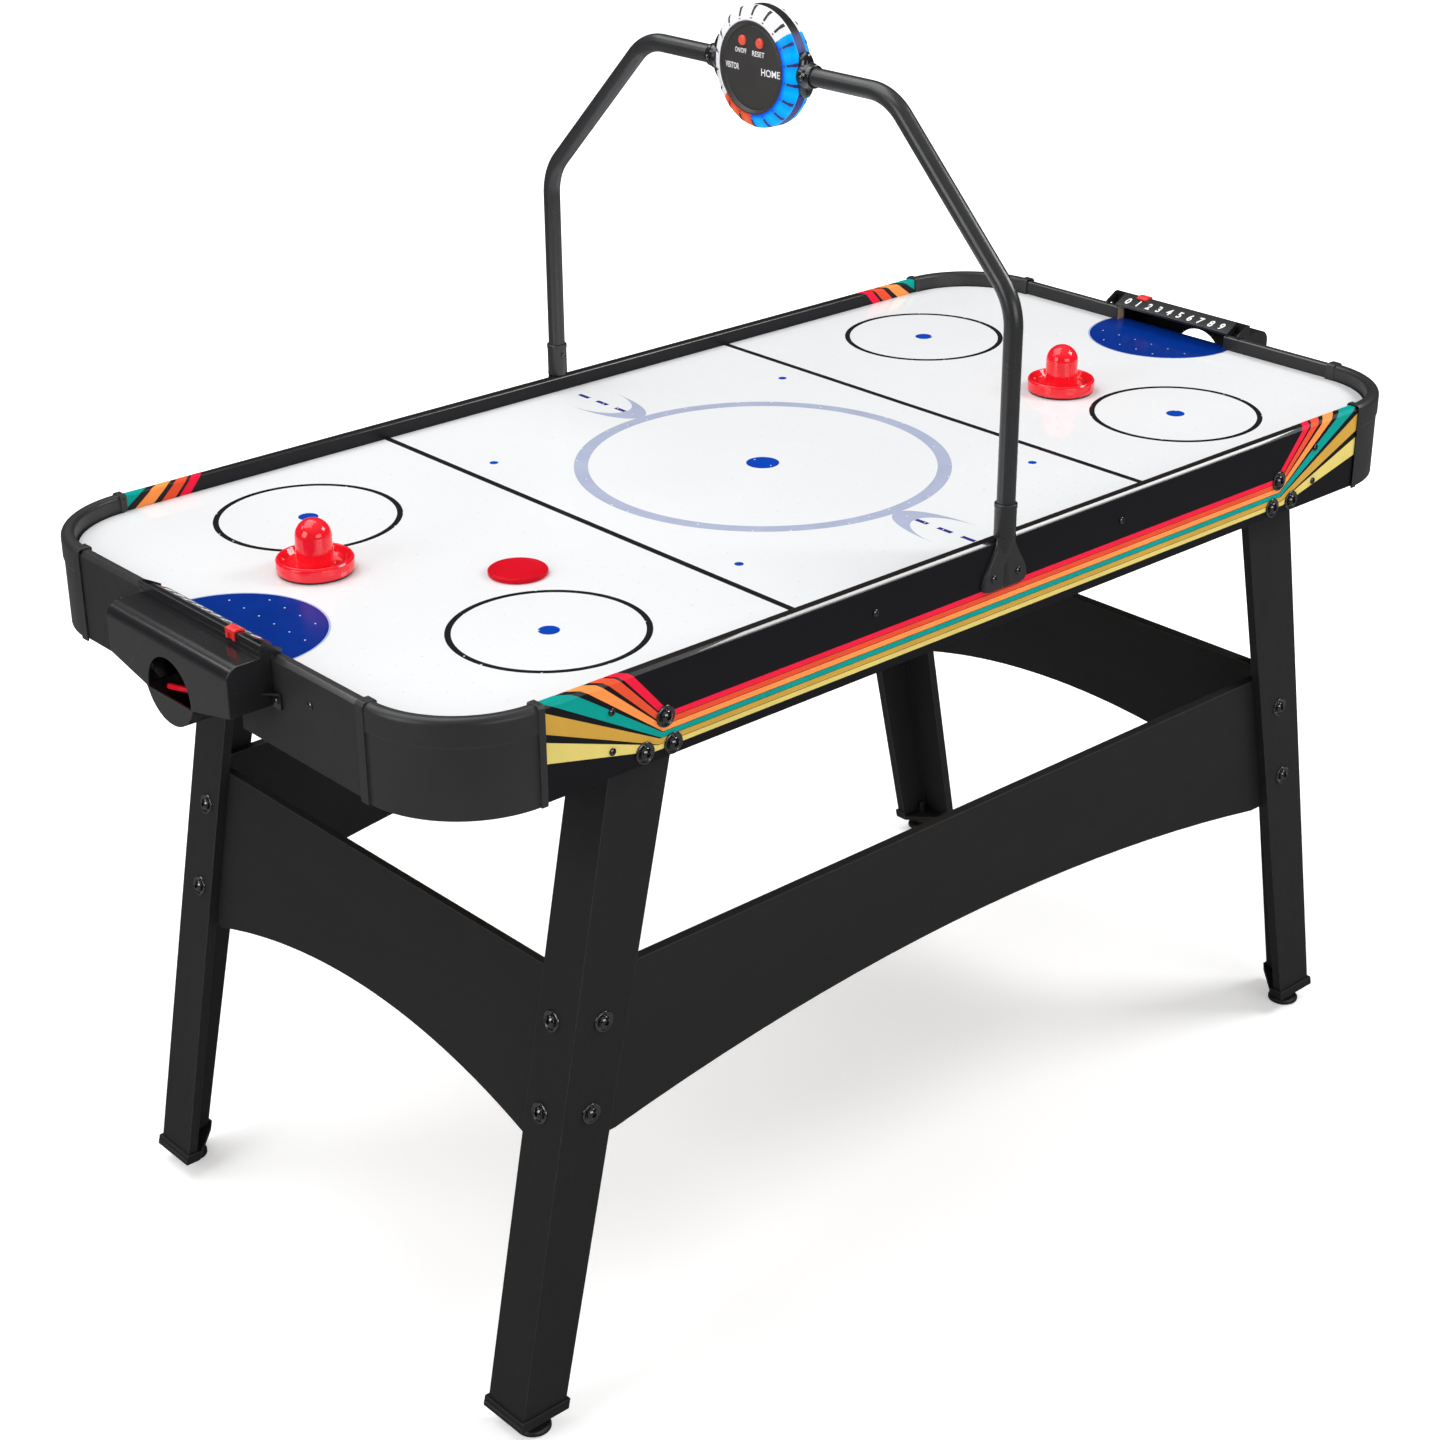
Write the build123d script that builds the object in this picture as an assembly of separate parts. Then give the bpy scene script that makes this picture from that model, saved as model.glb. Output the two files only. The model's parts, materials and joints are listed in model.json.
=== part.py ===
from build123d import *
import os
from collections import defaultdict
from math import sin, cos, tan, atan, radians

# Air hockey table with an overhead scorer.  Length runs along x, width along y, z is up,
# the floor is at z = 0 and the table is centred on the origin.
# "end" is -1 on the left (-x) and 1 on the right; "side" is -1 at the front (-y) and 1 at the back.

os.makedirs("parts", exist_ok=True)

END_NAME = {-1: "left", 1: "right"}
SIDE_NAME = {-1: "front", 1: "back"}
CORNERS = {"fl": (-1, -1), "fr": (1, -1), "bl": (-1, 1), "br": (1, 1)}

# ------------------------------------------------------------------ main sizes
HALF_L, HALF_W = 736.0, 374.0             # outer faces of the end and side aprons
SIDE_T, END_T = 20.0, 15.0                # apron thickness
LIP_SIDE, LIP_END = 14.0, 13.0            # apron thickness above the ledge
APRON_BOT, RAIL_TOP = 743.0, 842.0
LEDGE_Z = 818.98                          # ledge that carries the playing board
SIDE_IN, END_IN = HALF_W - SIDE_T, HALF_L - END_T    # inner faces of the aprons

PLAY_TOP, PLAY_T = 825.0, 6.0
PLAY_BOT = PLAY_TOP - PLAY_T
MOUTH_HW = 88.0                           # half width of the goal mouth

CAP_CX, CAP_CY = 620.0, 258.0             # centre of the corner curve
CAP_R = HALF_L - CAP_CX                   # outer radius of the corner curve
CAP_RI = CAP_R - LIP_SIDE                 # inner radius

FLOOR_BOT, FLOOR_TOP = 797.0, 800.0       # air chamber floor
RIB_X, RIB_T = 248.0, 10.0                # cross ribs in the air chamber

LEG_T = 12.0
LEG_BOT, LEG_TOP = 24.8, 795.0
LEG_Y, LEG_YI = SIDE_IN, 295.0            # outer face, and inner edge of the end board
LEG_SPLAY = 0.1936                        # outward run of the leg per unit of drop
COS_SPLAY, SIN_SPLAY = cos(atan(LEG_SPLAY)), sin(atan(LEG_SPLAY))
LEG_WALL_X = LEG_T / COS_SPLAY            # tilted end board measured along x
STR_T = 12.0                              # stretcher thickness

LEAF_T = 4.0                              # gantry bracket leaf
TUBE_R, TUBE_RI = 10.0, 8.6
TUBE_Y = 373.5
SCORER_Z, SCORER_R = 1276.0, 65.0


def leg_outer(z):
    """x of the leg's outer face"""
    return 662.7 - (z - 28.0) * LEG_SPLAY


def leg_inner(z):
    """x of the leg front board's inner edge"""
    return 605.6 - (z - 26.0) * 0.2232


# ------------------------------------------------------------------ helpers
def box(x0, x1, y0, y1, z0, z1):
    """box between two corners, given in any order"""
    centre = Pos((x0 + x1) / 2, (y0 + y1) / 2, (z0 + z1) / 2)
    return centre * Box(abs(x1 - x0), abs(y1 - y0), abs(z1 - z0))


def rod(start, stop, radius):
    start, stop = Vector(*start), Vector(*stop)
    run = stop - start
    return Plane(origin=start, z_dir=run) * (Pos(0, 0, run.length / 2) * Cylinder(radius, run.length))


def prism(points, direction, length):
    outline = Wire.make_polygon([Vector(*point) for point in points], close=True)
    return extrude(Face(outline), amount=length, dir=direction)


def prism_x(yz, x0, x1):
    return prism([(min(x0, x1), y, z) for y, z in yz], (1, 0, 0), abs(x1 - x0))


def prism_y(xz, y0, y1):
    return prism([(x, min(y0, y1), z) for x, z in xz], (0, 1, 0), abs(y1 - y0))


def prism_z(xy, z0, z1):
    return prism([(x, y, z0) for x, y in xy], (0, 0, 1), z1 - z0)


def flipped(points, sign_a, sign_b=1):
    return [(sign_a * a, sign_b * b) for a, b in points]


def arc_pts(cx, cy, radius, start, stop, steps):
    """points on an arc, angles in degrees"""
    angles = [radians(start + (stop - start) * i / steps) for i in range(steps + 1)]
    return [(cx + radius * cos(angle), cy + radius * sin(angle)) for angle in angles]


def turn(outline, angle=360.0):
    """(radius, z) outline turned about z"""
    wire = Wire.make_polygon([Vector(r, 0, z) for r, z in outline], close=True)
    return revolve(Face(wire), Axis.Z, angle)


def lathe(outline, origin=(0, 0, 0), axis=(0, 0, 1)):
    return Plane(origin=origin, z_dir=axis) * turn(outline)


def save(name, *shapes):
    solids = [solid for shape in shapes for solid in shape.solids()]
    out = solids[0] if len(solids) == 1 else Compound(children=solids)
    out.label = name
    export_step(out, "parts/%s.step" % name)


# ------------------------------------------------------------------ fasteners
BOLT_R, BOLT_CLEAR = 3.0, 3.12
SCREW_R, SCREW_CLEAR = 1.75, 1.83

# (radius, distance out from the surface)
WASHER = [(3.15, 0), (11.3, 0), (11.7, 0.6), (11.2, 1.6), (7.2, 2.3), (3.15, 2.3)]
BOLT_HEAD = [(0, 2.3), (6.5, 2.3), (6.5, 3.2), (5.4, 5.1), (3.6, 5.9), (0, 5.9)]

bolts, washers, nuts, screws = [], [], [], []
holes = defaultdict(list)      # part name: fastener holes to cut in it


def bolt_set(point, normal, grip, *parts):
    """Button head bolt, dished washer and nut; point on the outer face, normal outward."""
    point, normal = Vector(*point), Vector(*normal).normalized()

    def at(height):
        return point + normal * height

    def hexagon(height, radius, length):
        return Plane(origin=at(height), z_dir=normal) * extrude(RegularPolygon(radius, 6), length)

    head = lathe(BOLT_HEAD, at(0), normal)
    shank = rod(at(2.4), at(-(grip + 5.2)), BOLT_R)
    bolts.append((head + shank) - hexagon(3.7, 2.5, 3.0))
    washers.append(lathe(WASHER, at(0), normal))
    bore = rod(at(-(grip + 6.0)), at(-(grip - 1.0)), BOLT_R + 0.1)
    nuts.append(hexagon(-(grip + 4.8), 5.8, 4.8) - bore)
    for part in parts:
        holes[part].append(rod(at(1.0), at(-(grip + 1.0)), BOLT_CLEAR))


def screw(point, normal, length, *parts, head_r=4.0):
    """Cross-slot pan head screw; point on the surface, normal outward."""
    point, normal = Vector(*point), Vector(*normal).normalized()

    def at(height):
        return point + normal * height

    head = lathe([(0, 0), (head_r, 0), (head_r, 0.9), (head_r * 0.8, 2.1),
                  (head_r * 0.45, 2.6), (0, 2.6)], at(0), normal)
    slots = Pos(0, 0, 1.2) * (Box(3.6, 0.9, 2.4) + Box(0.9, 3.6, 2.4))
    cross = Plane(origin=at(1.2), z_dir=normal) * slots
    screws.append((head + rod(at(0.1), at(-length), SCREW_R)) - cross)
    for part in parts:
        holes[part].append(rod(at(1.0), at(-length - 0.2), SCREW_CLEAR))


def drill(body, part):
    for hole in holes[part]:
        body -= hole
    return body


APRON_BOLTS = [(471.0, 786.0), (497.5, 755.5), (462.0, 755.0)]   # (x, z), leg to side apron
LONG_BOLTS = [(541.0, 466.5), (560.5, 366.5)]                    # (x, z), leg to long stretcher
END_BOLT_Y, END_BOLT_Z = 318.4, (466.0, 366.0)                   # leg to end stretcher
FRAME_SCREW_Z, TAB_SCREW_Z = 811.0, 770.0
TAB_SCREW_X = 537.0

for corner, (end, side) in CORNERS.items():
    leg_name = "leg_" + corner
    for x, z in APRON_BOLTS:
        bolt_set((end * x, side * HALF_W, z), (0, side, 0), SIDE_T + LEG_T,
                 "side_apron_" + SIDE_NAME[side], leg_name)
    for x, z in LONG_BOLTS:
        bolt_set((end * x, side * LEG_Y, z), (0, side, 0), LEG_T + STR_T,
                 leg_name, "stretcher_" + SIDE_NAME[side])
    for z in END_BOLT_Z:
        bolt_set((end * leg_outer(z), side * END_BOLT_Y, z), (end * COS_SPLAY, 0, SIN_SPLAY),
                 LEG_T + STR_T, leg_name, "stretcher_" + END_NAME[end])

# side aprons to air chamber frame
for side, name in SIDE_NAME.items():
    for x in (-TAB_SCREW_X, -190.0, 190.0, TAB_SCREW_X):
        screw((x, side * HALF_W, FRAME_SCREW_Z), (0, side, 0), 33.0,
              "side_apron_" + name, "plenum_frame")
# corner cap tabs to aprons, from outside and from inside
for corner, (end, side) in CORNERS.items():
    side_pair = ("side_apron_" + SIDE_NAME[side], "corner_cap_" + corner)
    screw((end * TAB_SCREW_X, side * HALF_W, TAB_SCREW_Z), (0, side, 0), 27.0, *side_pair)
    screw((end * 604.0, side * 350.4, TAB_SCREW_Z), (0, -side, 0), 16.0, *side_pair, head_r=3.6)
    screw((end * 717.4, side * 238.0, TAB_SCREW_Z), (-end, 0, 0), 15.0,
          "end_apron_" + END_NAME[end], "corner_cap_" + corner, head_r=3.6)
# end aprons to air chamber frame
for end, name in END_NAME.items():
    for side in (-1, 1):
        screw((end * HALF_L, side * 172.0, FRAME_SCREW_Z), (end, 0, 0), 30.0,
              "end_apron_" + name, "plenum_frame")
# gantry brackets
for side, name in SIDE_NAME.items():
    for x in (-18.5, 18.5):
        screw((x, side * (HALF_W + LEAF_T), 801.0), (0, side, 0), 20.0,
              "gantry_bracket_" + name, "side_apron_" + name)
# goal box ears
EAR_T = 3.0
for end, name in END_NAME.items():
    for side in (-1, 1):
        screw((end * (HALF_L + EAR_T), side * 117.0, 798.0), (end, 0, 0), 14.0,
              "goal_box_" + name, "end_apron_" + name)

# ------------------------------------------------------------------ aprons
APRON_GAP = 0.4            # each apron stops this far short of the corner curve
SWITCH_X, SWITCH_Z = -330.0, 774.0


def switch_box(half_x, half_z, y0, y1):
    return box(SWITCH_X - half_x, SWITCH_X + half_x, y0, y1, SWITCH_Z - half_z, SWITCH_Z + half_z)


def apron_outline(sign, face, thickness, lip, bevel):
    """(distance from centre, z) section of an apron"""
    ledge = face - lip
    return flipped([(face, APRON_BOT), (face, RAIL_TOP - bevel), (face - bevel, RAIL_TOP),
                    (ledge + 1.6, RAIL_TOP), (ledge, RAIL_TOP - 1.6), (ledge, LEDGE_Z),
                    (face - thickness, LEDGE_Z), (face - thickness, APRON_BOT)], sign)


def side_apron(side, name):
    half = CAP_CX - APRON_GAP
    board = prism_x(apron_outline(side, HALF_W, SIDE_T, LIP_SIDE, 3.6), -half, half)
    board = drill(board, name)
    if side > 0:
        board -= switch_box(22.1, 11.1, 353, 375)      # seat for the rocker switch
    return board


def end_apron(end, name):
    half = CAP_CY - APRON_GAP
    board = prism_y(apron_outline(end, HALF_L, END_T, LIP_END, 4.6), -half, half)
    across = (end * (END_IN - 1), end * (HALF_L + 1))
    board -= box(*across, -MOUTH_HW, MOUTH_HW, PLAY_BOT - 0.1, RAIL_TOP + 1)   # goal mouth
    board -= box(*across, -47.0, 47.0, APRON_BOT - 1, 792.0)                   # trough notch
    return drill(board, name)


for side, name in SIDE_NAME.items():
    save("side_apron_" + name, side_apron(side, "side_apron_" + name))
for end, name in END_NAME.items():
    save("end_apron_" + name, end_apron(end, "end_apron_" + name))

# ------------------------------------------------------------------ corner caps
# Drawn for the +x +y corner, with the origin at the centre of the curve.
CAP_BOT, BEAD_TOP = 740.6, 844.4
CAP_RO = CAP_R + 0.9
CAP_OUTLINE = (                           # (radius, z)
    [(CAP_RI, 817.0), (CAP_RI, 838.6)]
    + arc_pts(CAP_RI + 5.0, 838.6, 5.0, 180, 90, 5)[1:]
    + arc_pts(CAP_RO - 7.0, 836.6, 7.0, 90, 0, 6)
    + [(CAP_RO, 816.4), (CAP_RO - 1.3, 814.8), (CAP_RO - 1.3, CAP_BOT), (CAP_RO - 4.3, CAP_BOT),
       (CAP_RO - 4.3, 813.4), (CAP_RO - 3.2, 814.6)]
    + arc_pts(CAP_RO - 7.0, 836.4, 3.8, 0, 90, 4)
    + arc_pts(CAP_RI + 5.4, 838.4, 1.8, 90, 180, 3)[1:]
    + [(CAP_RI + 2.6, 817.0)])


def board_box(along_x, near, far, inner, outer, low, high):
    """box placed along and across a board that runs along x or along y"""
    if along_x:
        return box(near, far, inner, outer, low, high)
    return box(inner, outer, near, far, low, high)


def cap_bead(along_x, lip, face, reach):
    """flange round the end of an apron; lip and face are the apron's upper faces"""
    back = -reach - 1.0
    bead = board_box(along_x, -reach, 3.6, lip - 2.0, face + 2.2, CAP_BOT, BEAD_TOP)
    bead -= board_box(along_x, back, -0.2, lip - 0.06, face + 0.06, 730, 842.06)
    bead -= board_box(along_x, -0.3, 4.0, lip + 3.0, face - 2.0, 730, 840.2)
    bead -= board_box(along_x, back, 4.0, lip - 3.0, lip + 3.1, 730, 825.3)
    cut = prism_x if along_x else prism_y
    bead -= cut([(face + 2.3, 841.2), (face - 1.0, 844.5), (face + 2.3, 844.5)], back, 4)
    bead -= cut([(lip - 2.1, 842.4), (lip - 0.2, 844.5), (lip - 2.1, 844.5)], back, 4)
    return bead


def cap_tab(along_x, inner, face, length):
    """hidden fixing tab behind an apron, with its link to the curve"""
    tab = board_box(along_x, -length, 3.0, inner - 3.6, inner - 0.1, 748.0, 792.0)
    return tab + board_box(along_x, 0.2, 3.0, inner - 3.6, face - 1.0, 748.0, 792.0)


def corner_cap(end, side, name):
    cap = turn(CAP_OUTLINE, 90)
    cap += cap_bead(True, HALF_W - LIP_SIDE - CAP_CY, HALF_W - CAP_CY, 4.0)
    cap += cap_bead(False, HALF_L - LIP_END - CAP_CX, HALF_L - CAP_CX, 8.0)
    cap += cap_tab(True, SIDE_IN - CAP_CY, HALF_W - CAP_CY, 92.0)
    cap += cap_tab(False, END_IN - CAP_CX, HALF_L - CAP_CX, 32.0)
    cap = Pos(CAP_CX, CAP_CY, 0) * cap
    if end < 0:
        cap = mirror(cap, about=Plane.YZ)
    if side < 0:
        cap = mirror(cap, about=Plane.XZ)
    return drill(cap, name)


for corner, (end, side) in CORNERS.items():
    save("corner_cap_" + corner, corner_cap(end, side, "corner_cap_" + corner))

# ------------------------------------------------------------------ playing board
HOLE_PITCH_X, HOLE_PITCH_Y = 61.0, 54.4     # air hole grid
HOLE_COLUMNS, HOLE_ROWS = 11, 6             # on each side of the centre
HOLE_R = 0.8


def playfield():
    half_x, half_y = HALF_L - LIP_END - 0.4, HALF_W - LIP_SIDE - 0.4
    straight_y = CAP_CY - 9.2
    mouth = MOUTH_HW - 0.4
    board = box(-CAP_CX, CAP_CX, -half_y, half_y, PLAY_BOT, PLAY_TOP)
    board += box(-half_x, half_x, -straight_y, straight_y, PLAY_BOT, PLAY_TOP)
    board += box(-HALF_L, HALF_L, -mouth, mouth, PLAY_BOT, PLAY_TOP)
    mid_z = PLAY_BOT + PLAY_T / 2
    for end in (-1, 1):
        for side in (-1, 1):
            corner = Pos(end * CAP_CX, side * CAP_CY, mid_z)
            board += corner * Cylinder(CAP_RI - 2.5, PLAY_T)
    drills = []
    for i in range(-HOLE_COLUMNS, HOLE_COLUMNS + 1):
        x = i * HOLE_PITCH_X
        if abs(abs(x) - RIB_X) < 8:         # no holes over the ribs
            continue
        for j in range(HOLE_ROWS):
            for side in (-1, 1):
                y = side * (j + 0.25) * HOLE_PITCH_Y
                drills += (Pos(x, y, mid_z) * Cylinder(HOLE_R, PLAY_T + 2)).solids()
    return board - Compound(children=drills)


save("playfield", playfield())

# ------------------------------------------------------------------ air chamber
FRAME_T = 18.0
FRAME_X, FRAME_Y = END_IN - 0.4, SIDE_IN - 0.4      # outer faces of the frame
BEVEL_X, BEVEL_Y = 598.0, 236.0                     # where the bevelled corners start


def plenum_frame():
    in_x, in_y = FRAME_X - FRAME_T, FRAME_Y - FRAME_T
    heights = (FLOOR_TOP, PLAY_BOT)
    frame = box(-BEVEL_X, BEVEL_X, -FRAME_Y, -in_y, *heights)
    frame += box(-BEVEL_X, BEVEL_X, in_y, FRAME_Y, *heights)
    corner = [(BEVEL_X, FRAME_Y), (BEVEL_X, in_y), (in_x, 225), (FRAME_X, 225), (FRAME_X, BEVEL_Y)]
    for end in (-1, 1):
        frame += box(end * in_x, end * FRAME_X, -BEVEL_Y, BEVEL_Y, *heights)
        for side in (1, -1):
            frame += prism_z(flipped(corner, end, side), *heights)
        rib = box(end * (RIB_X - RIB_T / 2), end * (RIB_X + RIB_T / 2), -336, 336, *heights)
        for y in (-240, -80, 80, 240):
            rib -= box(end * 240, end * 256, y - 45, y + 45, FLOOR_TOP - 1, PLAY_BOT - 6)
        frame += rib
    return drill(frame, "plenum_frame")


def plenum_floor():
    x, y = FRAME_X - 0.2, FRAME_Y - 0.2
    floor = prism_z([(-BEVEL_X, -y), (BEVEL_X, -y), (x, -BEVEL_Y), (x, BEVEL_Y),
                     (BEVEL_X, y), (-BEVEL_X, y), (-x, BEVEL_Y), (-x, -BEVEL_Y)],
                    FLOOR_BOT, FLOOR_TOP)
    return floor - Pos(0, 0, 798.5) * Cylinder(34.0, 5)


save("plenum_frame", plenum_frame())
save("plenum_floor", plenum_floor())

# ------------------------------------------------------------------ blower
# Hung under the chamber floor: inlet grille below, outlet collar above.
# Outlines are (radius, z).
BLOWER_SHELL = [
    (30.0, 803.0), (33.4, 803.0), (33.4, 796.9), (84.0, 796.9), (84.0, 794.0), (76.0, 794.0),
    (76.0, 742.0), (73.4, 739.4), (66.0, 739.4), (66.0, 742.0), (73.2, 742.0), (73.2, 794.0),
    (30.0, 794.0)]
GRILLE = [(0, 739.4), (66.4, 739.4), (66.4, 742.0), (0, 742.0)]
GRILLE_SLOTS = [              # (inner radius, outer radius, pitch angle, end margin, arc steps)
    (46, 50, 30, 3, 4), (54, 58, 30, 3, 4), (60.5, 63.5, 30, 3, 4), (34, 41, 60, 4, 6)]
MOTOR = [
    (0, 742.2), (29.0, 742.2), (30.0, 743.2), (30.0, 762.0), (28.0, 764.0), (6.0, 764.0),
    (6.0, 767.0), (2.5, 767.0), (2.5, 785.0), (0, 785.0)]
IMPELLER_HUB = [
    (2.56, 768.0), (9.0, 768.0), (9.0, 770.0), (64.0, 770.0), (64.0, 772.0), (9.0, 772.0),
    (9.0, 784.0), (2.56, 784.0)]
IMPELLER_RIM = [(52.0, 788.0), (64.0, 788.0), (64.0, 790.0), (52.0, 790.0)]
BLADES = 16


def blower_housing():
    grille = lathe(GRILLE)
    for inner, outer, pitch, margin, steps in GRILLE_SLOTS:
        for angle in range(0, 360, pitch):
            start, stop = angle + margin, angle + pitch - margin
            grille -= prism_z(arc_pts(0, 0, outer, start, stop, steps)
                              + arc_pts(0, 0, inner, stop, start, steps), 738, 743)
    return lathe(BLOWER_SHELL) + grille


def blower_impeller():
    impeller = lathe(IMPELLER_HUB)
    impeller += lathe(IMPELLER_RIM)
    for i in range(BLADES):
        place = Pos(0, 0, 780.0) * Rot(0, 0, 360.0 * i / BLADES) * Pos(58.0, 0, 0) * Rot(0, 0, 32)
        impeller += place * Box(15.0, 1.6, 17.0)
    return impeller & Pos(0, 0, 779) * Cylinder(67.5, 30)


save("blower_housing", blower_housing())
save("blower_motor", lathe(MOTOR))
save("blower_impeller", blower_impeller())

# ------------------------------------------------------------------ rocker switch
PIVOT_Y = 374.6
ROCKER = [(368.0, 768.2), (377.4, 767.4), (375.6, 774.0), (377.4, 780.6), (368.0, 779.8)]  # (y, z)


def switch_pin(half, radius):
    return rod((SWITCH_X - half, PIVOT_Y, SWITCH_Z), (SWITCH_X + half, PIVOT_Y, SWITCH_Z), radius)


bezel = switch_box(25, 14, 374.02, 376.2) + switch_box(22, 11, 358, 374.1)
bezel -= switch_box(13.5, 7.5, 360, 378)
bezel -= switch_pin(15.6, 1.26)
save("switch_bezel", bezel)
save("switch_rocker", prism_x(ROCKER, SWITCH_X - 13.2, SWITCH_X + 13.2) + switch_pin(15.2, 1.2))

# ------------------------------------------------------------------ legs
FOOT_X, FOOT_Y = 636.0, 336.0
FOOT_BOT, FOOT_FLOOR, FOOT_TOP = 19.0, 24.6, 31.0     # moulded end cap heights
FOOT_GAP, FOOT_WALL = 0.12, 2.9
LEVELER = [                   # (radius, z)
    (0, 0), (17.6, 0), (19.35, 1.6), (19.35, 5.0), (17.8, 6.8), (9.0, 9.0), (7.6, 12.0),
    (7.2, 17.6), (4.0, 18.6), (4.0, 40.0), (3.2, 41.0), (0, 41.0)]


def leg(end, side, name):
    low_x, high_x = leg_outer(LEG_BOT), leg_outer(LEG_TOP)
    front = prism_y(flipped([(low_x, LEG_BOT), (leg_inner(LEG_BOT), LEG_BOT),
                             (leg_inner(LEG_TOP), LEG_TOP), (high_x, LEG_TOP)], end),
                    side * LEG_Y, side * (LEG_Y - LEG_T))
    end_board = prism_y(flipped([(low_x, LEG_BOT), (low_x - LEG_WALL_X, LEG_BOT),
                                 (high_x - LEG_WALL_X, LEG_TOP), (high_x, LEG_TOP)], end),
                        side * LEG_Y, side * LEG_YI)
    return drill(front + end_board, name)


def leg_cap(end, side):
    gap, wall = FOOT_GAP, FOOT_WALL

    def cap_wall(face_a, offset_a, face_b, offset_b, y0, y1):
        """wall between two x faces that follow the leg's taper"""
        return prism_y(flipped([(face_a(FOOT_BOT) + offset_a, FOOT_BOT),
                                (face_b(FOOT_BOT) + offset_b, FOOT_BOT),
                                (face_b(FOOT_TOP) + offset_b, FOOT_TOP),
                                (face_a(FOOT_TOP) + offset_a, FOOT_TOP)], end),
                       side * y0, side * y1)

    outer_y, inner_y = LEG_Y + wall, LEG_YI - wall
    board_y = LEG_Y - LEG_T - wall
    outer_x = leg_outer(FOOT_BOT) + gap + wall - 0.4
    inner_x = leg_inner(FOOT_BOT) - wall
    cap = prism_z(flipped([(outer_x, outer_y), (inner_x, outer_y), (inner_x, board_y),
                           (leg_outer(FOOT_BOT) - LEG_WALL_X - wall, inner_y),
                           (outer_x, inner_y)], end, side), FOOT_BOT, FOOT_FLOOR)
    cap += cap_wall(leg_outer, gap, leg_outer, gap + wall, outer_y, inner_y)
    cap += cap_wall(leg_outer, gap + 0.5, leg_inner, -wall, LEG_Y + gap, outer_y)
    cap += cap_wall(leg_inner, -gap, leg_inner, -wall, outer_y, board_y)
    cap += cap_wall(leg_outer, gap + 0.5, leg_outer, -LEG_WALL_X - wall, LEG_YI - gap, inner_y)
    cap += Pos(end * FOOT_X, side * FOOT_Y, 28.5) * Cylinder(5.6, 9.0)
    return cap - Pos(end * FOOT_X, side * FOOT_Y, 26.0) * Cylinder(4.06, 30)


for corner, (end, side) in CORNERS.items():
    save("leg_" + corner, leg(end, side, "leg_" + corner))
    save("leg_cap_" + corner, leg_cap(end, side))
    save("leveler_" + corner, lathe(LEVELER, (end * FOOT_X, side * FOOT_Y, 0)))

# ------------------------------------------------------------------ stretchers
LONG_BOT, LONG_TOP, LONG_APEX = 324.5, 510.5, 374.0
SHORT_BOT, SHORT_TOP, SHORT_APEX = 323.0, 507.5, 364.0
STR_GAP = 0.6


def arch_face(half_low, half_arch, half_top, low, apex, top):
    """board with a straight top and an arched bottom between flat ends"""
    return Face(Wire([
        Edge.make_line((-half_top, top), (half_top, top)),
        Edge.make_line((half_top, top), (half_low, low)),
        Edge.make_line((half_low, low), (half_arch, low)),
        Edge.make_three_point_arc((half_arch, low), (0, apex), (-half_arch, low)),
        Edge.make_line((-half_arch, low), (-half_low, low)),
        Edge.make_line((-half_low, low), (-half_top, top))]))


def long_stretcher(side):
    inset = LEG_WALL_X + STR_GAP
    face = arch_face(leg_outer(LONG_BOT) - inset, 520.0, leg_outer(LONG_TOP) - inset,
                     LONG_BOT, LONG_APEX, LONG_TOP)
    leg_face = LEG_Y - LEG_T
    high_y = max(side * leg_face, side * (leg_face - STR_T))
    return Pos(0, high_y, 0) * (Rot(90, 0, 0) * extrude(face, amount=STR_T, dir=(0, 0, 1)))


def end_stretcher(end):
    """drawn in the plane of the leg end board's inner face, with the arch apex at zero"""
    half = LEG_Y - LEG_T - STR_T - STR_GAP
    face = arch_face(half, 282.0, half, (SHORT_BOT - SHORT_APEX) / COS_SPLAY, 0.0,
                     (SHORT_TOP - SHORT_APEX) / COS_SPLAY)
    plane = Plane(origin=(end * (leg_outer(SHORT_APEX) - LEG_WALL_X), 0, SHORT_APEX),
                  x_dir=(0, -end, 0), z_dir=(-end * COS_SPLAY, 0, -SIN_SPLAY))
    return plane * extrude(face, amount=STR_T, dir=(0, 0, 1))


for side, name in SIDE_NAME.items():
    save("stretcher_" + name, drill(long_stretcher(side), "stretcher_" + name))
for end, name in END_NAME.items():
    save("stretcher_" + name, drill(end_stretcher(end), "stretcher_" + name))

# ------------------------------------------------------------------ goal boxes
# Drawn for the +x goal.
GOAL_HW = 110.0               # half width
GOAL_X = 787.0                # outer face
GOAL_TOP, GOAL_ROUND = 842.6, 14.0
GOAL_WALL = 2.6
TROUGH_R, TROUGH_Z, TROUGH_X = 45.0, 792.0, 712.0
DIGIT_PITCH = 17.3
SLIDER_DIGIT = 1
# (x, z) outlines of the score rail
RAIL_CREST = [(748.0, 854.8), (746.6, 856.0), (741.6, 856.0), (723.6, 846.0), (723.6, 843.0)]
RAIL = [(748.0, 840.5)] + RAIL_CREST + [
    (726.4, 843.0), (726.4, 844.6), (742.2, 853.4), (745.4, 853.4), (745.4, 840.5)]
RAIL_END = [(748.0, 842.3)] + RAIL_CREST + [(723.6, 842.3)]
RAIL_CELL = [(745.4, 846.0), (745.4, 857.0), (722.0, 857.0), (722.0, 842.4), (726.0, 842.4)]


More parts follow.
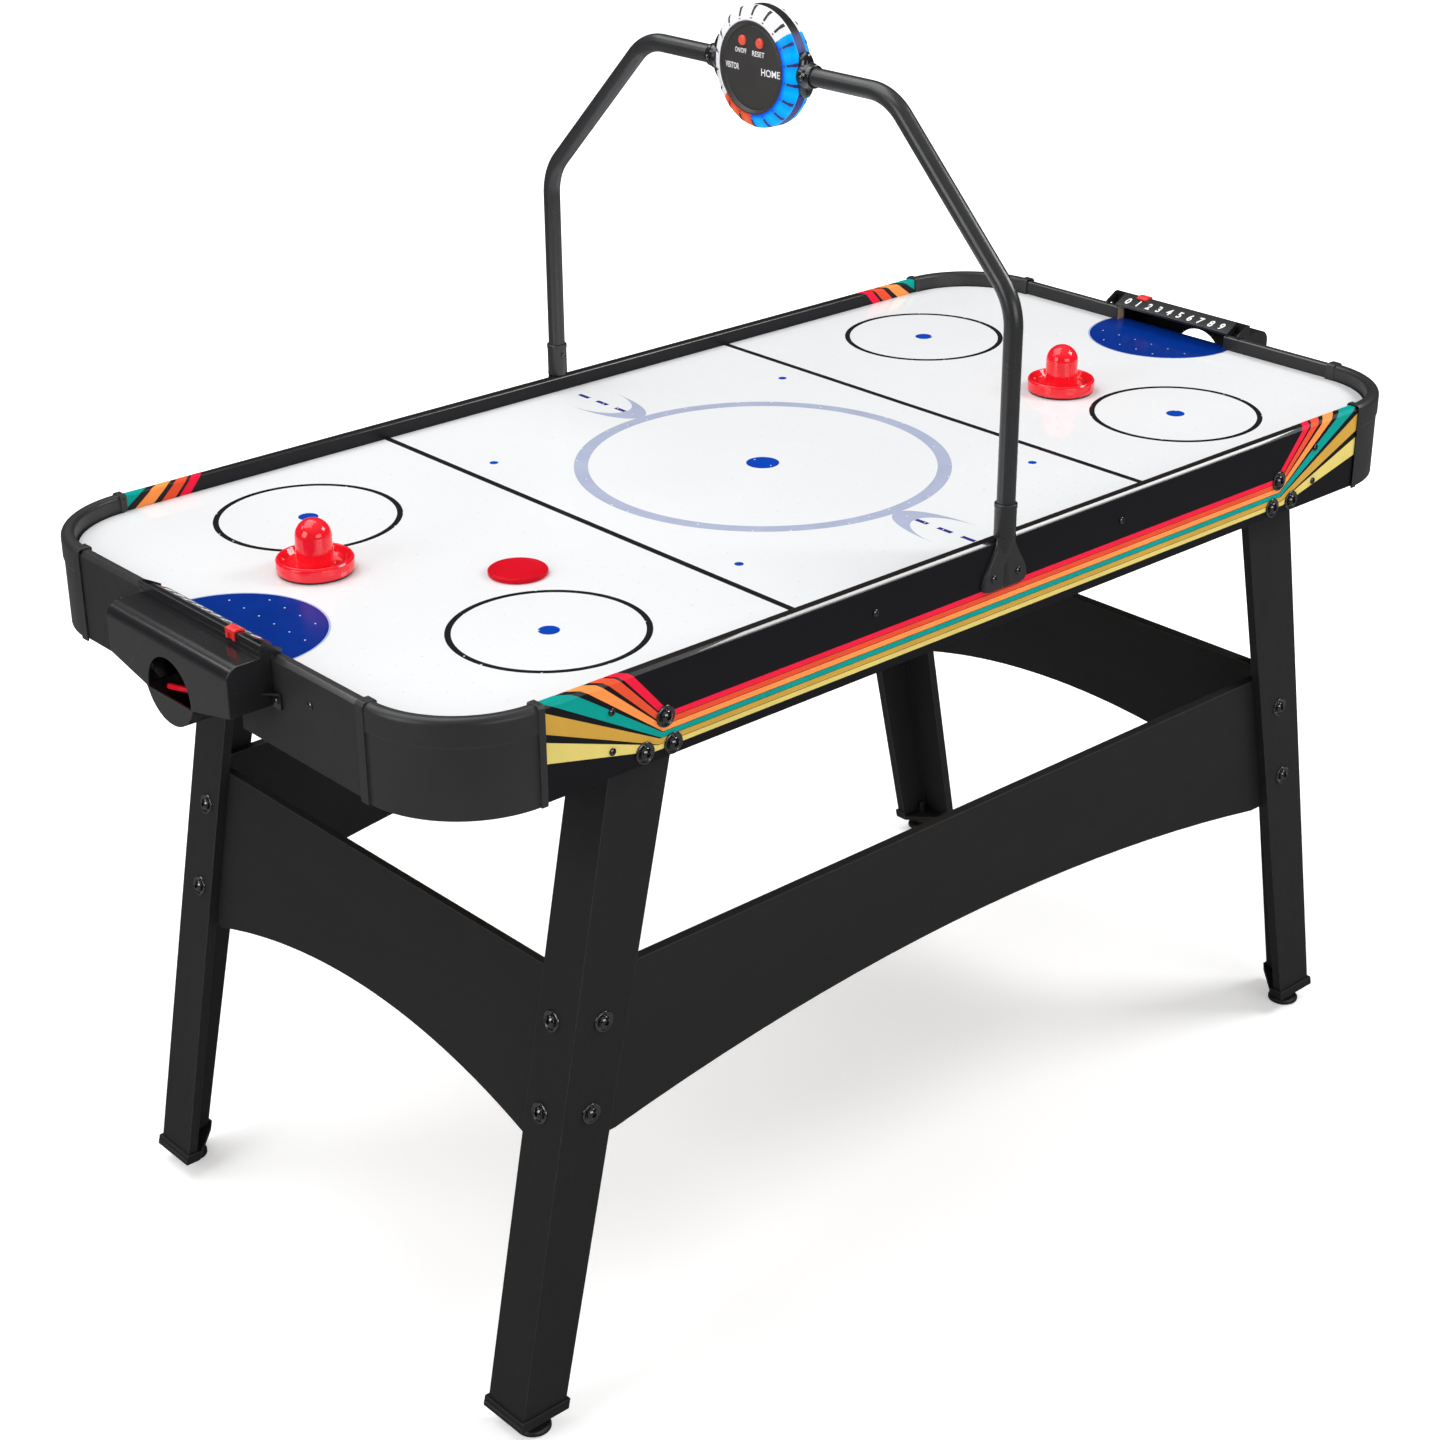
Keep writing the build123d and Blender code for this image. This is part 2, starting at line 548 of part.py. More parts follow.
def goal_shell():
    wall = GOAL_WALL
    round_at = (GOAL_X - GOAL_ROUND, GOAL_TOP - GOAL_ROUND)
    outer = prism_y([(HALF_L, 791.0), (HALF_L, GOAL_TOP)]
                    + arc_pts(*round_at, GOAL_ROUND, 90, 0, 6)
                    + [(GOAL_X, 791.0)], -GOAL_HW, GOAL_HW)
    inner = prism_y([(HALF_L - 1, 780.0), (HALF_L - 1, GOAL_TOP - wall)]
                    + arc_pts(*round_at, GOAL_ROUND - wall, 90, 0, 6)
                    + [(GOAL_X - wall, 780.0)], -(GOAL_HW - wall), GOAL_HW - wall)
    shell = outer - inner
    # outer skirt dips to the trough in the middle
    skirt = GOAL_HW - 1
    return shell + prism_x([(-skirt, 791.0), (-43.0, 776.0), (43.0, 776.0), (skirt, 791.0),
                            (skirt, 800.0), (-skirt, 800.0)], GOAL_X - wall, GOAL_X)


def goal_box():
    wall = GOAL_WALL
    box_shape = goal_shell()
    # round trough and the sloped floor on both sides of it
    bowl = arc_pts(0, TROUGH_Z, TROUGH_R, 198, 342, 20)
    bowl_in = arc_pts(0, TROUGH_Z, TROUGH_R - wall, 342, 198, 20)
    box_shape += prism_x(bowl + bowl_in, TROUGH_X, GOAL_X)
    slope = [(42.4, 778.9), (42.4, 776.2), (109.0, 791.0), (109.0, 793.6)]
    for side in (-1, 1):
        box_shape += prism_x(flipped(slope, side), HALF_L, GOAL_X - 0.2)
    # inner end wall of the trough, then its outer plate
    box_shape += prism_x(bowl, TROUGH_X, TROUGH_X + wall)
    box_shape += prism_x([(-43.6, 775.5)] + arc_pts(0, TROUGH_Z, TROUGH_R, 202, 338, 20)
                         + [(43.6, 775.5)], GOAL_X - wall, GOAL_X)
    # return opening
    box_shape -= prism_x([(-39.0, 775.6)] + arc_pts(0, 779.0, 39.0, 180, 0, 18)
                         + [(39.0, 775.6)], GOAL_X - wall - 1, GOAL_X + 2)
    # ears with a stiffening web
    root = GOAL_HW - 0.5
    web = [(HALF_L, root), (HALF_L + 14.0, root), (HALF_L + 1.0, 123.0), (HALF_L, 123.0)]
    for side in (-1, 1):
        box_shape += box(HALF_L, HALF_L + EAR_T, side * root, side * 124.0, 790.0, 806.0)
        box_shape += prism_z(flipped(web, 1, side), 805.0, 807.0)
    # score rail over the mouth, with its foot
    box_shape += prism_y(RAIL, -GOAL_HW, GOAL_HW)
    box_shape += prism_y([(736.1, 842.62), (747.0, 842.62), (747.0, 840.4), (736.1, 840.4)],
                         -GOAL_HW, GOAL_HW)
    # closed ends of the rail with an open cell beside them
    for side in (-1, 1):
        box_shape -= prism_y(RAIL_CELL, side * 92.5, side * 107.6)
        box_shape += prism_y(RAIL_END, side * 107.6, side * GOAL_HW)
        box_shape += prism_y(RAIL_END, side * 90.2, side * 92.5)
    # groove for the score clip
    return box_shape - box(747.4, 749.0, -107.0, 107.0, 848.6, 850.4)


def score_slider():
    """score clip at y = 0"""
    gap = 0.08
    inner_x = 748.0 + gap
    outer_x = inner_x + 1.8
    clip = prism_y([(outer_x, 847.2), (outer_x, 857.4), (746.4, 858.4), (740.8, 858.4),
                    (736.2, 855.9), (737.0, 854.2), (737.0, 853.56), (741.45, 856.0 + gap),
                    (746.7, 856.0 + gap), (inner_x, 854.9 + gap), (inner_x, 847.2)], -8.0, 8.0)
    clip += box(747.5, 748.5, -6.0, 6.0, 848.8, 850.2)
    # notch that leaves two hooks on the outer side
    return clip - box(748.2, 752.0, -3.4, 3.4, 846.0, 853.4)


def at_end(end, shape):
    return shape if end > 0 else Rot(0, 0, 180) * shape


# The digits run 0 to 9 from the left hand of the player who faces the goal.
goal = goal_box()
slider = Pos(0, (4.5 - SLIDER_DIGIT) * DIGIT_PITCH, 0) * score_slider()
for end, name in END_NAME.items():
    save("goal_box_" + name, drill(at_end(end, goal), "goal_box_" + name))
    save("score_slider_" + name, at_end(end, slider))

# ------------------------------------------------------------------ overhead gantry
SLEEVE_R, SLEEVE_TOP = 12.2, 881.0
SET_SCREW_Z = 868.0
TUBE_BEND = 66.0
TUBE_CORNERS = [              # (y, z) of the tube's centre line, before bending
    (TUBE_Y, 846.5), (TUBE_Y, 1094.0), (192.0, SCORER_Z), (68.6, SCORER_Z)]
SLEEVE_CONE = [(0, 818.0), (2.5, 818.0), (9.5, 832.0), (SLEEVE_R, 846.0), (0, 846.0)]  # (radius, z)
LEAF_HALF = ([(-11.5, 846.0), (-13.5, 840.0), (-20.0, 826.0), (-28.0, 812.0), (-33.5, 800.0)]
             + arc_pts(-27.0, 793.5, 7.0, 175, 270, 6) + [(-12.0, 785.4)])              # (x, z)
LEAF_GROOVE = [(0.0, 826.0), (-2.0, 817.0), (-1.2, 790.0), (1.2, 790.0), (2.0, 817.0)]  # (x, z)


def gantry_bracket(side, name):
    """drawn for the back"""
    bracket = (Pos(0, TUBE_Y, (RAIL_TOP + SLEEVE_TOP) / 2)
               * Cylinder(SLEEVE_R, SLEEVE_TOP - RAIL_TOP - 0.1))
    cone = lathe(SLEEVE_CONE, (0, TUBE_Y, 0))
    bracket += cone & box(-20, 20, HALF_W + 0.05, HALF_W + 30, 800, 860)
    leaf = LEAF_HALF + [(0.0, 785.0)] + flipped(LEAF_HALF[::-1], -1)
    bracket += prism_y(leaf, HALF_W + 0.05, HALF_W + LEAF_T)
    bracket -= prism_y(LEAF_GROOVE, HALF_W + LEAF_T - 1.2, HALF_W + 10)
    bracket -= Pos(0, TUBE_Y, 870.0) * Cylinder(TUBE_R + 0.05, 48.0)
    bracket -= rod((0, TUBE_Y - 14, SET_SCREW_Z), (0, TUBE_Y - 9, SET_SCREW_Z), 1.9)
    if side < 0:
        bracket = mirror(bracket, about=Plane.XZ)
    return drill(bracket, name)


def bend(before, corner, after):
    """start, middle and end of the arc that rounds a corner of the tube"""
    back, ahead = (before - corner).normalized(), (after - corner).normalized()
    half_angle = radians(back.get_angle(ahead)) / 2
    reach = TUBE_BEND / tan(half_angle)
    inward = (back + ahead).normalized()
    centre = corner + inward * (TUBE_BEND / sin(half_angle))
    return corner + back * reach, centre - inward * TUBE_BEND, corner + ahead * reach


def gantry_tube(side):
    foot, low, high, tip = [Vector(0, side * y, z) for y, z in TUBE_CORNERS]
    low_bend, high_bend = bend(foot, low, high), bend(low, high, tip)
    path = Wire([Edge.make_line(foot, low_bend[0]), Edge.make_three_point_arc(*low_bend),
                 Edge.make_line(low_bend[2], high_bend[0]),
                 Edge.make_three_point_arc(*high_bend), Edge.make_line(high_bend[2], tip)])
    plane = Plane(origin=foot, z_dir=(0, 0, 1))
    tube = sweep(plane * Circle(TUBE_R), path=path) - sweep(plane * Circle(TUBE_RI), path=path)
    return tube - rod((0, side * (TUBE_Y - 14), SET_SCREW_Z),
                      (0, side * (TUBE_Y - 7), SET_SCREW_Z), 1.9)


for side, name in SIDE_NAME.items():
    save("gantry_bracket_" + name, gantry_bracket(side, "gantry_bracket_" + name))
    save("gantry_tube_" + name, gantry_tube(side))
    # set screw through the sleeve into the tube
    screw((0, side * (TUBE_Y - SLEEVE_R), SET_SCREW_Z), (0, -side, 0), 5.0, head_r=3.2)

# ------------------------------------------------------------------ round scorer
# Its axis lies along x, so here the front faces -x and the rear +x.
BUTTON_Y, BUTTON_Z = 13.5, SCORER_Z + 27.5
FACE_R = SCORER_R - 15.3
RING = [                      # (inset from the scorer's radius, distance from the mid plane)
    (0, 5.7), (0, 7.6), (1.2, 10.4), (4.0, 13.4), (8.0, 16.0), (15.2, 19.0), (15.2, 16.6),
    (9.0, 13.8), (5.6, 11.6), (3.4, 8.8), (3.2, 5.7)]
FACE = [                      # (radius, distance from the mid plane)
    (0, 18.6), (FACE_R - 9.0, 17.2), (FACE_R - 6.0, 17.6), (FACE_R - 3.6, 20.4),
    (FACE_R - 1.4, 20.8), (FACE_R, 19.6), (FACE_R, 6.0), (FACE_R - 2.2, 6.0),
    (FACE_R - 2.2, 15.4), (FACE_R - 9.0, 14.8), (0, 16.2)]
BUTTON = [                    # (radius, distance from the mid plane)
    (0, 6.8), (3.0, 6.8), (3.0, 13.4), (7.2, 13.4), (7.2, 14.9), (6.0, 14.9), (6.0, 20.0),
    (5.2, 20.9), (0, 21.2)]


def scorer_disc(outline):
    """(radius, x) outline turned about the scorer's axis"""
    return Plane(origin=(0, 0, SCORER_Z), x_dir=(0, 1, 0), z_dir=(1, 0, 0)) * turn(outline)


def scorer_plate(outer, inner, half):
    return scorer_disc([(outer, -half), (outer, half), (inner, half), (inner, -half)])


def scorer_ring(facing):
    ring = scorer_disc([(SCORER_R - inset, facing * x) for inset, x in RING])
    for i in range(18):
        slot = Pos(facing * 14.0, 0, SCORER_R - 8.6) * Box(16.0, 1.7, 8.4)
        ring -= Pos(0, 0, SCORER_Z) * Rot(-20.0 * i, 0, 0) * slot
    return ring


def scorer_face(facing):
    return scorer_disc([(r, facing * x) for r, x in FACE])


def scorer_face_front():
    face = scorer_face(-1)
    for y in (-BUTTON_Y, BUTTON_Y):
        face -= rod((-10, y, BUTTON_Z), (-24, y, BUTTON_Z), 6.06)
    return face


def scorer_board():
    """circuit board with square blocks round both faces and three more on the front"""
    board = scorer_plate(0, 47.0, 0.8)
    for y, z in arc_pts(0, SCORER_Z, 42.0, 10, 350, 17):
        for facing in (-1, 1):
            board += box(facing * 0.7, facing * 2.6, y - 2.4, y + 2.4, z - 2.4, z + 2.4)
    board += box(-3.0, -0.7, -9, 9, SCORER_Z - 14, SCORER_Z + 4)
    for y in (-BUTTON_Y, BUTTON_Y):
        board += box(-4.6, -0.7, y - 4, y + 4, BUTTON_Z - 4, BUTTON_Z + 4)
    return board


save("scorer_ring_front", scorer_ring(-1))
save("scorer_ring_rear", scorer_ring(1))
save("scorer_face_front", scorer_face_front())
save("scorer_face_rear", scorer_face(1))
save("scorer_board", scorer_board())
for name, y in (("reset_button", -BUTTON_Y), ("power_button", BUTTON_Y)):
    save(name, lathe(BUTTON, (0, y, BUTTON_Z), (-1, 0, 0)))
save("scorer_band", scorer_plate(SCORER_R, SCORER_R - 3.0, 5.6)
     + scorer_plate(SCORER_R - 2.9, SCORER_R - 10.0, 1.2))

# ------------------------------------------------------------------ scorer clamps
SEAT_R = SCORER_R + 0.15
KNUCKLE = [(0, 0.1), (13.0, 0.1), (14.2, 3.0), (14.2, 11.0), (12.6, 16.5), (0, 16.5)]  # (r, out)
SADDLE_ANGLE, SADDLE_T, SADDLE_STEPS = 20, 9.0, 20


def clamp_saddle(side):
    """saddle that hugs the band above and below the knuckle"""
    points = arc_pts(0, SCORER_Z, SEAT_R, -SADDLE_ANGLE, SADDLE_ANGLE, SADDLE_STEPS)
    for i in range(SADDLE_STEPS - 1, 0, -1):
        bulge = (1 - abs(2 * i / SADDLE_STEPS - 1) ** 6) ** 0.5
        radius = SEAT_R + (SADDLE_T - 0.15) * bulge
        angle = radians(-SADDLE_ANGLE + 2 * SADDLE_ANGLE * i / SADDLE_STEPS)
        points.append((radius * cos(angle), SCORER_Z + radius * sin(angle)))
    return prism_x(flipped(points, side), -9.0, 9.0)


def scorer_clamp(side):
    clamp = lathe([(r, SCORER_R + out) for r, out in KNUCKLE], (0, 0, SCORER_Z), (0, side, 0))
    clamp -= scorer_plate(0, SEAT_R, 25)
    clamp += clamp_saddle(side)
    clamp -= rod((0, side * (SCORER_R + 3.5), SCORER_Z), (0, side * (SCORER_R + 18), SCORER_Z),
                 TUBE_R + 0.05)
    screw_y = side * (SCORER_R + 9.0)
    return clamp - rod((-16.0, screw_y, SCORER_Z), (-9.0, screw_y, SCORER_Z), SCREW_CLEAR)


for side, name in SIDE_NAME.items():
    save("scorer_clamp_" + name, scorer_clamp(side))
    screw((-14.3, side * (SCORER_R + 9.0), SCORER_Z), (-1, 0, 0), 3.6, head_r=2.8)

# ------------------------------------------------------------------ loose play pieces
PUSHER_R, KNOB_R = 41.0, 19.3
FELT_T = 2.0
PUCK_R, PUCK_T = 31.5, 5.6
PUSHER = [                    # (radius, height over the felt)
    (0, 0), (PUSHER_R - 0.8, 0), (PUSHER_R, 1.0), (PUSHER_R, 13.0), (PUSHER_R - 1.6, 15.0),
    (PUSHER_R - 3.4, 15.0), (PUSHER_R - 7.6, 7.6), (PUSHER_R - 10.6, 5.4), (21.2, 5.0),
    (19.8, 6.4), (KNOB_R, 36.8)
] + [(KNOB_R * cos(radians(angle)), 36.8 + KNOB_R * sin(radians(angle)))
     for angle in (12, 24, 36, 48, 60, 72, 82)] + [(0, 36.8 + KNOB_R)]
FELT = [(30.0, 0.02), (PUSHER_R - 1.4, 0.02), (PUSHER_R - 1.4, FELT_T), (30.0, FELT_T)]
PUCK = [
    (0, 0), (30.4, 0), (PUCK_R, 1.0), (PUCK_R, PUCK_T - 1.0), (30.4, PUCK_T), (27.0, PUCK_T),
    (26.4, PUCK_T - 0.6), (0, PUCK_T - 0.6)]

for name, (x, y) in (("left", (-561.5, 75.0)), ("right", (445.0, -58.0))):
    save("pusher_" + name, lathe(PUSHER, (x, y, PLAY_TOP + FELT_T)))
    save("felt_" + name, lathe(FELT, (x, y, PLAY_TOP)))

save("puck_play", lathe(PUCK, (-411.5, -73.0, PLAY_TOP + 0.02)))
# second puck, tilted in the left trough
puck_axis = Vector(0.43, 0.18, 0.885).normalized()
puck_centre = Vector(-754.0, 0.0, 772.6)
save("puck_return", lathe(PUCK, puck_centre - puck_axis * (PUCK_T / 2), puck_axis))

save("leg_bolts", *bolts)
save("leg_washers", *washers)
save("leg_nuts", *nuts)
save("small_screws", *screws)
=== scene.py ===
# Air hockey table with a round electronic scorer on a gantry over the middle.
# Metres, +Z up, floor at z = 0. The table is long along X: its long boards are the
# front (-Y) and the back (+Y), its goals are at the left (-X) and the right (+X).
# The scorer's front plate faces -X. Profiles and outlines are written in millimetres.
import bpy
import bmesh
import json
from math import sin, cos, tan, atan2, pi, radians, sqrt, hypot
from mathutils import Vector, Matrix

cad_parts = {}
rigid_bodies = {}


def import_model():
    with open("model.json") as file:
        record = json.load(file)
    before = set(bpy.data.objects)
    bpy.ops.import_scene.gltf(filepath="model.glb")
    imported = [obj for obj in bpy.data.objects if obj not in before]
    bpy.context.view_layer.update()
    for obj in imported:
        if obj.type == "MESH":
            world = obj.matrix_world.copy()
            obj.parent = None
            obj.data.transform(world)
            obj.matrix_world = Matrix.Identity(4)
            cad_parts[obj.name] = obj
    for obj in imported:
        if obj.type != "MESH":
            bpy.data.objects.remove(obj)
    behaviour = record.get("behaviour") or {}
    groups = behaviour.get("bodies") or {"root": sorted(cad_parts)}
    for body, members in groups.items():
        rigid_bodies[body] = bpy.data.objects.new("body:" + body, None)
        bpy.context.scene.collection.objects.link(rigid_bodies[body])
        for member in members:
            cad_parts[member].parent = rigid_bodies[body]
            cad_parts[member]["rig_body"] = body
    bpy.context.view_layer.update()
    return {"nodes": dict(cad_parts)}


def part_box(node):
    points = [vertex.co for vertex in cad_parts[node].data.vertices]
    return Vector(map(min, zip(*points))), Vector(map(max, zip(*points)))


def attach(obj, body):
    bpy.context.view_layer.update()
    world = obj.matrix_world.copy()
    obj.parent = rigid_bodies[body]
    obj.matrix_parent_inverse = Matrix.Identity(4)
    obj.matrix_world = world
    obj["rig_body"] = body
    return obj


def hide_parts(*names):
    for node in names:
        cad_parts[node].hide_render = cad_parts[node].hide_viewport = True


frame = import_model()
NODES = frame["nodes"]
COLLECTION = bpy.context.scene.collection
MM = 0.001
TABLE = "table"
LONG_SIDES = ((-1, "front"), (1, "back"))
ENDS = ("left", "right")
CORNERS = ("fl", "fr", "bl", "br")
MATERIALS = {}


# ------------------------------------------------------------------ shader graphs
class Graph:
    """Writes nodes into an emptied node tree."""

    def __init__(self, tree):
        self.tree = tree
        tree.nodes.clear()

    def node(self, kind, inputs=(), **settings):
        made = self.tree.nodes.new(kind)
        for key, value in settings.items():
            setattr(made, key, value)
        self.fill(made, inputs)
        return made

    def fill(self, node, inputs):
        """Links or sets several inputs, keyed by name or index."""
        for key, value in dict(inputs).items():
            socket = node.inputs[key]
            if isinstance(value, bpy.types.NodeSocket):
                self.tree.links.new(value, socket)
            elif isinstance(value, tuple) and socket.type == "RGBA":
                socket.default_value = (*value, 1.0)
            else:
                socket.default_value = value

    def math(self, operation, a, b=0.0):
        return self.node("ShaderNodeMath", {0: a, 1: b}, operation=operation).outputs[0]

    def between(self, value, low, high):
        return self.math("MULTIPLY", self.math("GREATER_THAN", value, low),
                         self.math("LESS_THAN", value, high))

    def length(self, a, b):
        squares = self.math("ADD", self.math("MULTIPLY", a, a), self.math("MULTIPLY", b, b))
        return self.math("SQRT", squares)

    def remap(self, value, from_low, from_high, low, high):
        return self.node("ShaderNodeMapRange",
                         {0: value, 1: from_low, 2: from_high, 3: low, 4: high}).outputs[0]

    def spread(self, noise, low=0.0, high=1.0):
        """Stretches the middle of a noise over low..high."""
        return self.remap(noise, 0.3, 0.7, low, high)

    def flecks(self, noise, amount):
        """Keeps the bright part of a grain noise, up to amount."""
        return self.remap(noise, 0.35, 0.68, 0.0, amount)

    def split(self, vector):
        return list(self.node("ShaderNodeSeparateXYZ", {0: vector}).outputs)

    def mix_shader(self, factor, first, second):
        return self.node("ShaderNodeMixShader", {0: factor, 1: first, 2: second}).outputs[0]


class Material(Graph):
    """A material with one Principled shader, textured in object coordinates."""

    def __init__(self, name):
        material = bpy.data.materials.new(name)
        material.use_nodes = True
        super().__init__(material.node_tree)
        MATERIALS[name] = material
        self.output = self.node("ShaderNodeOutputMaterial")
        self.principled = self.node("ShaderNodeBsdfPrincipled")
        self.fill(self.output, {0: self.principled.outputs[0]})
        self.place = self.node("ShaderNodeTexCoord").outputs["Object"]

    def shade(self, inputs):
        self.fill(self.principled, inputs)

    def mix(self, factor, a, b):
        return self.node("ShaderNodeMix", {"Factor": factor, 6: a, 7: b},
                         data_type="RGBA", blend_type="MIX").outputs[2]

    def noise(self, scale, detail=2.0, rough=0.5, stretch=None):
        place = self.place
        if stretch is not None:
            place = self.node("ShaderNodeMapping",
                              {"Vector": place, "Scale": stretch}).outputs[0]
        return self.node("ShaderNodeTexNoise", {"Vector": place, "Scale": scale, "Detail": detail,
                                                "Roughness": rough}).outputs["Fac"]

    def normal_parts(self):
        return self.split(self.node("ShaderNodeNewGeometry").outputs["Normal"])

    def bump(self, height, strength, distance, under=None):
        inputs = {"Strength": strength, "Distance": distance, "Height": height}
        if under is not None:
            inputs["Normal"] = under
        return self.node("ShaderNodeBump", inputs).outputs[0]


def scaled(colour, factor):
    return tuple(min(1.0, part * factor) for part in colour)


def surface(name, base, rough=(0.4, 0.52), cloud=0.16, cloud_scale=9.0, grain=0.10,
            grain_scale=420.0, bump=0.18, bump_scale=1500.0, bump_depth=0.0001, stretch=None,
            coat=0.0, coat_rough=0.08, spec=0.5, metal=0.0, sheen=0.0, light=None):
    """Cloudy colour, fine grain, uneven polish and a fine bump.

    cloud and grain are strengths of the colour changes, light is the colour of the grain.
    """
    g = Material(name)
    clouds = g.noise(cloud_scale, detail=3.0, rough=0.55, stretch=stretch)
    grains = g.noise(grain_scale, detail=2.0, rough=0.6, stretch=stretch)
    colour = g.mix(g.spread(clouds), scaled(base, 1 - cloud), scaled(base, 1 + cloud))
    colour = g.mix(g.flecks(grains, grain), colour, light or scaled(base, 1.9))
    polish = g.noise(cloud_scale * 3.1, detail=4.0, rough=0.6, stretch=stretch)
    relief = g.noise(bump_scale, detail=2.0, rough=0.6, stretch=stretch)
    g.shade({
        "Base Color": colour,
        "Roughness": g.spread(polish, *rough),
        "Metallic": metal,
        "Specular IOR Level": spec,
        "Coat Weight": coat,
        "Coat Roughness": coat_rough,
        "Sheen Weight": sheen,
        "Normal": g.bump(relief, bump, bump_depth),
    })


# ------------------------------------------------------------------ plain materials
# mouldings, goal boxes and leg caps
surface("moulding_black", (0.0235, 0.0235, 0.0245), rough=(0.34, 0.44), cloud=0.10,
        cloud_scale=7, grain=0.09, grain_scale=700, bump=0.40, bump_scale=1900,
        bump_depth=0.00009, spec=0.38)
# moulding_black_edge goes on the rounded edges and is lighter than the moulding: partly wear,
# partly a painted edge highlight
surface("moulding_black_edge", (0.028, 0.028, 0.029), rough=(0.30, 0.40), cloud=0.2,
        cloud_scale=70, grain=0.18, bump=0.3)
surface("goal_box_black", (0.0115, 0.0118, 0.0128), rough=(0.24, 0.28), cloud=0.08,
        cloud_scale=7, grain=0.05, grain_scale=700, bump=0.14, bump_scale=1700,
        bump_depth=0.00006, spec=0.55, coat=0.32, coat_rough=0.16)
# goal_box_black_edge goes on the rounded edges and is lighter than the box: partly wear, partly a
# painted edge highlight
surface("goal_box_black_edge", (0.0130, 0.0133, 0.0143), rough=(0.20, 0.26), cloud=0.15,
        cloud_scale=70, grain=0.1, bump=0.2, spec=0.55, coat=0.3, coat_rough=0.18)
surface("leg_cap_black", (0.0105, 0.0105, 0.0112), rough=(0.42, 0.54), cloud=0.12,
        cloud_scale=20, grain=0.12, bump=0.4, spec=0.30)
surface("foot_black", (0.012, 0.012, 0.013), rough=(0.36, 0.48), cloud=0.15,
        cloud_scale=25, grain=0.15, bump=0.4)
# legs, stretchers and gantry
surface("leg_charcoal", (0.0148, 0.0148, 0.0154), rough=(0.50, 0.62), cloud=0.12,
        cloud_scale=5, grain=0.16, grain_scale=620, bump=0.45, bump_scale=1300,
        bump_depth=0.00015, stretch=(1, 1, 0.35), spec=0.25)
# leg_charcoal_edge goes on the rounded edges of legs and stretchers and is lighter than the
# board: partly wear, partly a painted edge highlight
surface("leg_charcoal_edge", (0.019, 0.019, 0.0195), rough=(0.42, 0.55), cloud=0.35,
        cloud_scale=80, grain=0.3, bump=0.4, bump_scale=900)
surface("stretcher_charcoal", (0.0140, 0.0140, 0.0148), rough=(0.50, 0.62), cloud=0.12,
        cloud_scale=4, grain=0.16, grain_scale=620, bump=0.45, bump_scale=1300,
        bump_depth=0.00015, stretch=(0.35, 0.35, 1), spec=0.25)
surface("tube_charcoal", (0.022, 0.0224, 0.0235), rough=(0.26, 0.34), cloud=0.12,
        cloud_scale=12, grain=0.16, grain_scale=900, bump=0.30, bump_scale=1700,
        bump_depth=0.00009, coat=0.15, coat_rough=0.3, spec=0.45)
surface("bracket_charcoal", (0.0190, 0.0190, 0.0200), rough=(0.29, 0.37), cloud=0.12,
        cloud_scale=10, grain=0.14, grain_scale=800, bump=0.22, bump_scale=1700,
        bump_depth=0.00008, spec=0.55)
surface("clamp_black", (0.0110, 0.0108, 0.0108), rough=(0.16, 0.26), cloud=0.12,
        cloud_scale=30, grain=0.1, grain_scale=800, bump=0.2, bump_scale=1700,
        bump_depth=0.00008, coat=0.4, coat_rough=0.12)
# red parts
surface("red_gloss", (0.88, 0.011, 0.023), rough=(0.07, 0.14), cloud=0.07, cloud_scale=18,
        grain=0.04, grain_scale=900, bump=0.06, bump_scale=700, bump_depth=0.00006,
        coat=0.35, coat_rough=0.03, spec=0.32, light=(0.90, 0.04, 0.05))
surface("red_puck", (0.56, 0.0012, 0.012), rough=(0.30, 0.40), cloud=0.08, cloud_scale=22,
        grain=0.08, grain_scale=900, bump=0.12, bump_scale=900, bump_depth=0.00008,
        spec=0.08, light=(0.70, 0.02, 0.03))
surface("red_clip", (0.80, 0.030, 0.030), rough=(0.22, 0.32), cloud=0.08, cloud_scale=30,
        grain=0.06, bump=0.1, bump_scale=1200, light=(0.9, 0.1, 0.1))
surface("button_red", (0.80, 0.085, 0.045), rough=(0.30, 0.42), cloud=0.08, cloud_scale=60,
        grain=0.06, bump=0.1, bump_scale=1200, light=(0.9, 0.15, 0.1))
# felt, scorer face, electrics and blower
surface("felt_black", (0.010, 0.010, 0.011), rough=(0.85, 0.95), cloud=0.3, cloud_scale=60,
        grain=0.5, grain_scale=1400, bump=0.9, bump_scale=1600, bump_depth=0.0004, sheen=0.3)
surface("scorer_face", (0.034, 0.032, 0.031), rough=(0.42, 0.50), cloud=0.10,
        cloud_scale=16, grain=0.12, grain_scale=900, bump=0.30, bump_scale=1900,
        bump_depth=0.00008)
surface("circuit_green", (0.012, 0.10, 0.045), rough=(0.35, 0.5), cloud=0.3,
        cloud_scale=60, grain=0.3, bump=0.4, bump_scale=500, light=(0.4, 0.45, 0.3))
surface("blower_grey", (0.045, 0.045, 0.048), rough=(0.42, 0.55), cloud=0.15,
        cloud_scale=14, grain=0.15, bump=0.4)
surface("motor_steel", (0.46, 0.47, 0.48), rough=(0.22, 0.38), cloud=0.12, cloud_scale=30,
        grain=0.1, bump=0.2, bump_scale=900, metal=1.0, stretch=(1, 1, 0.1))
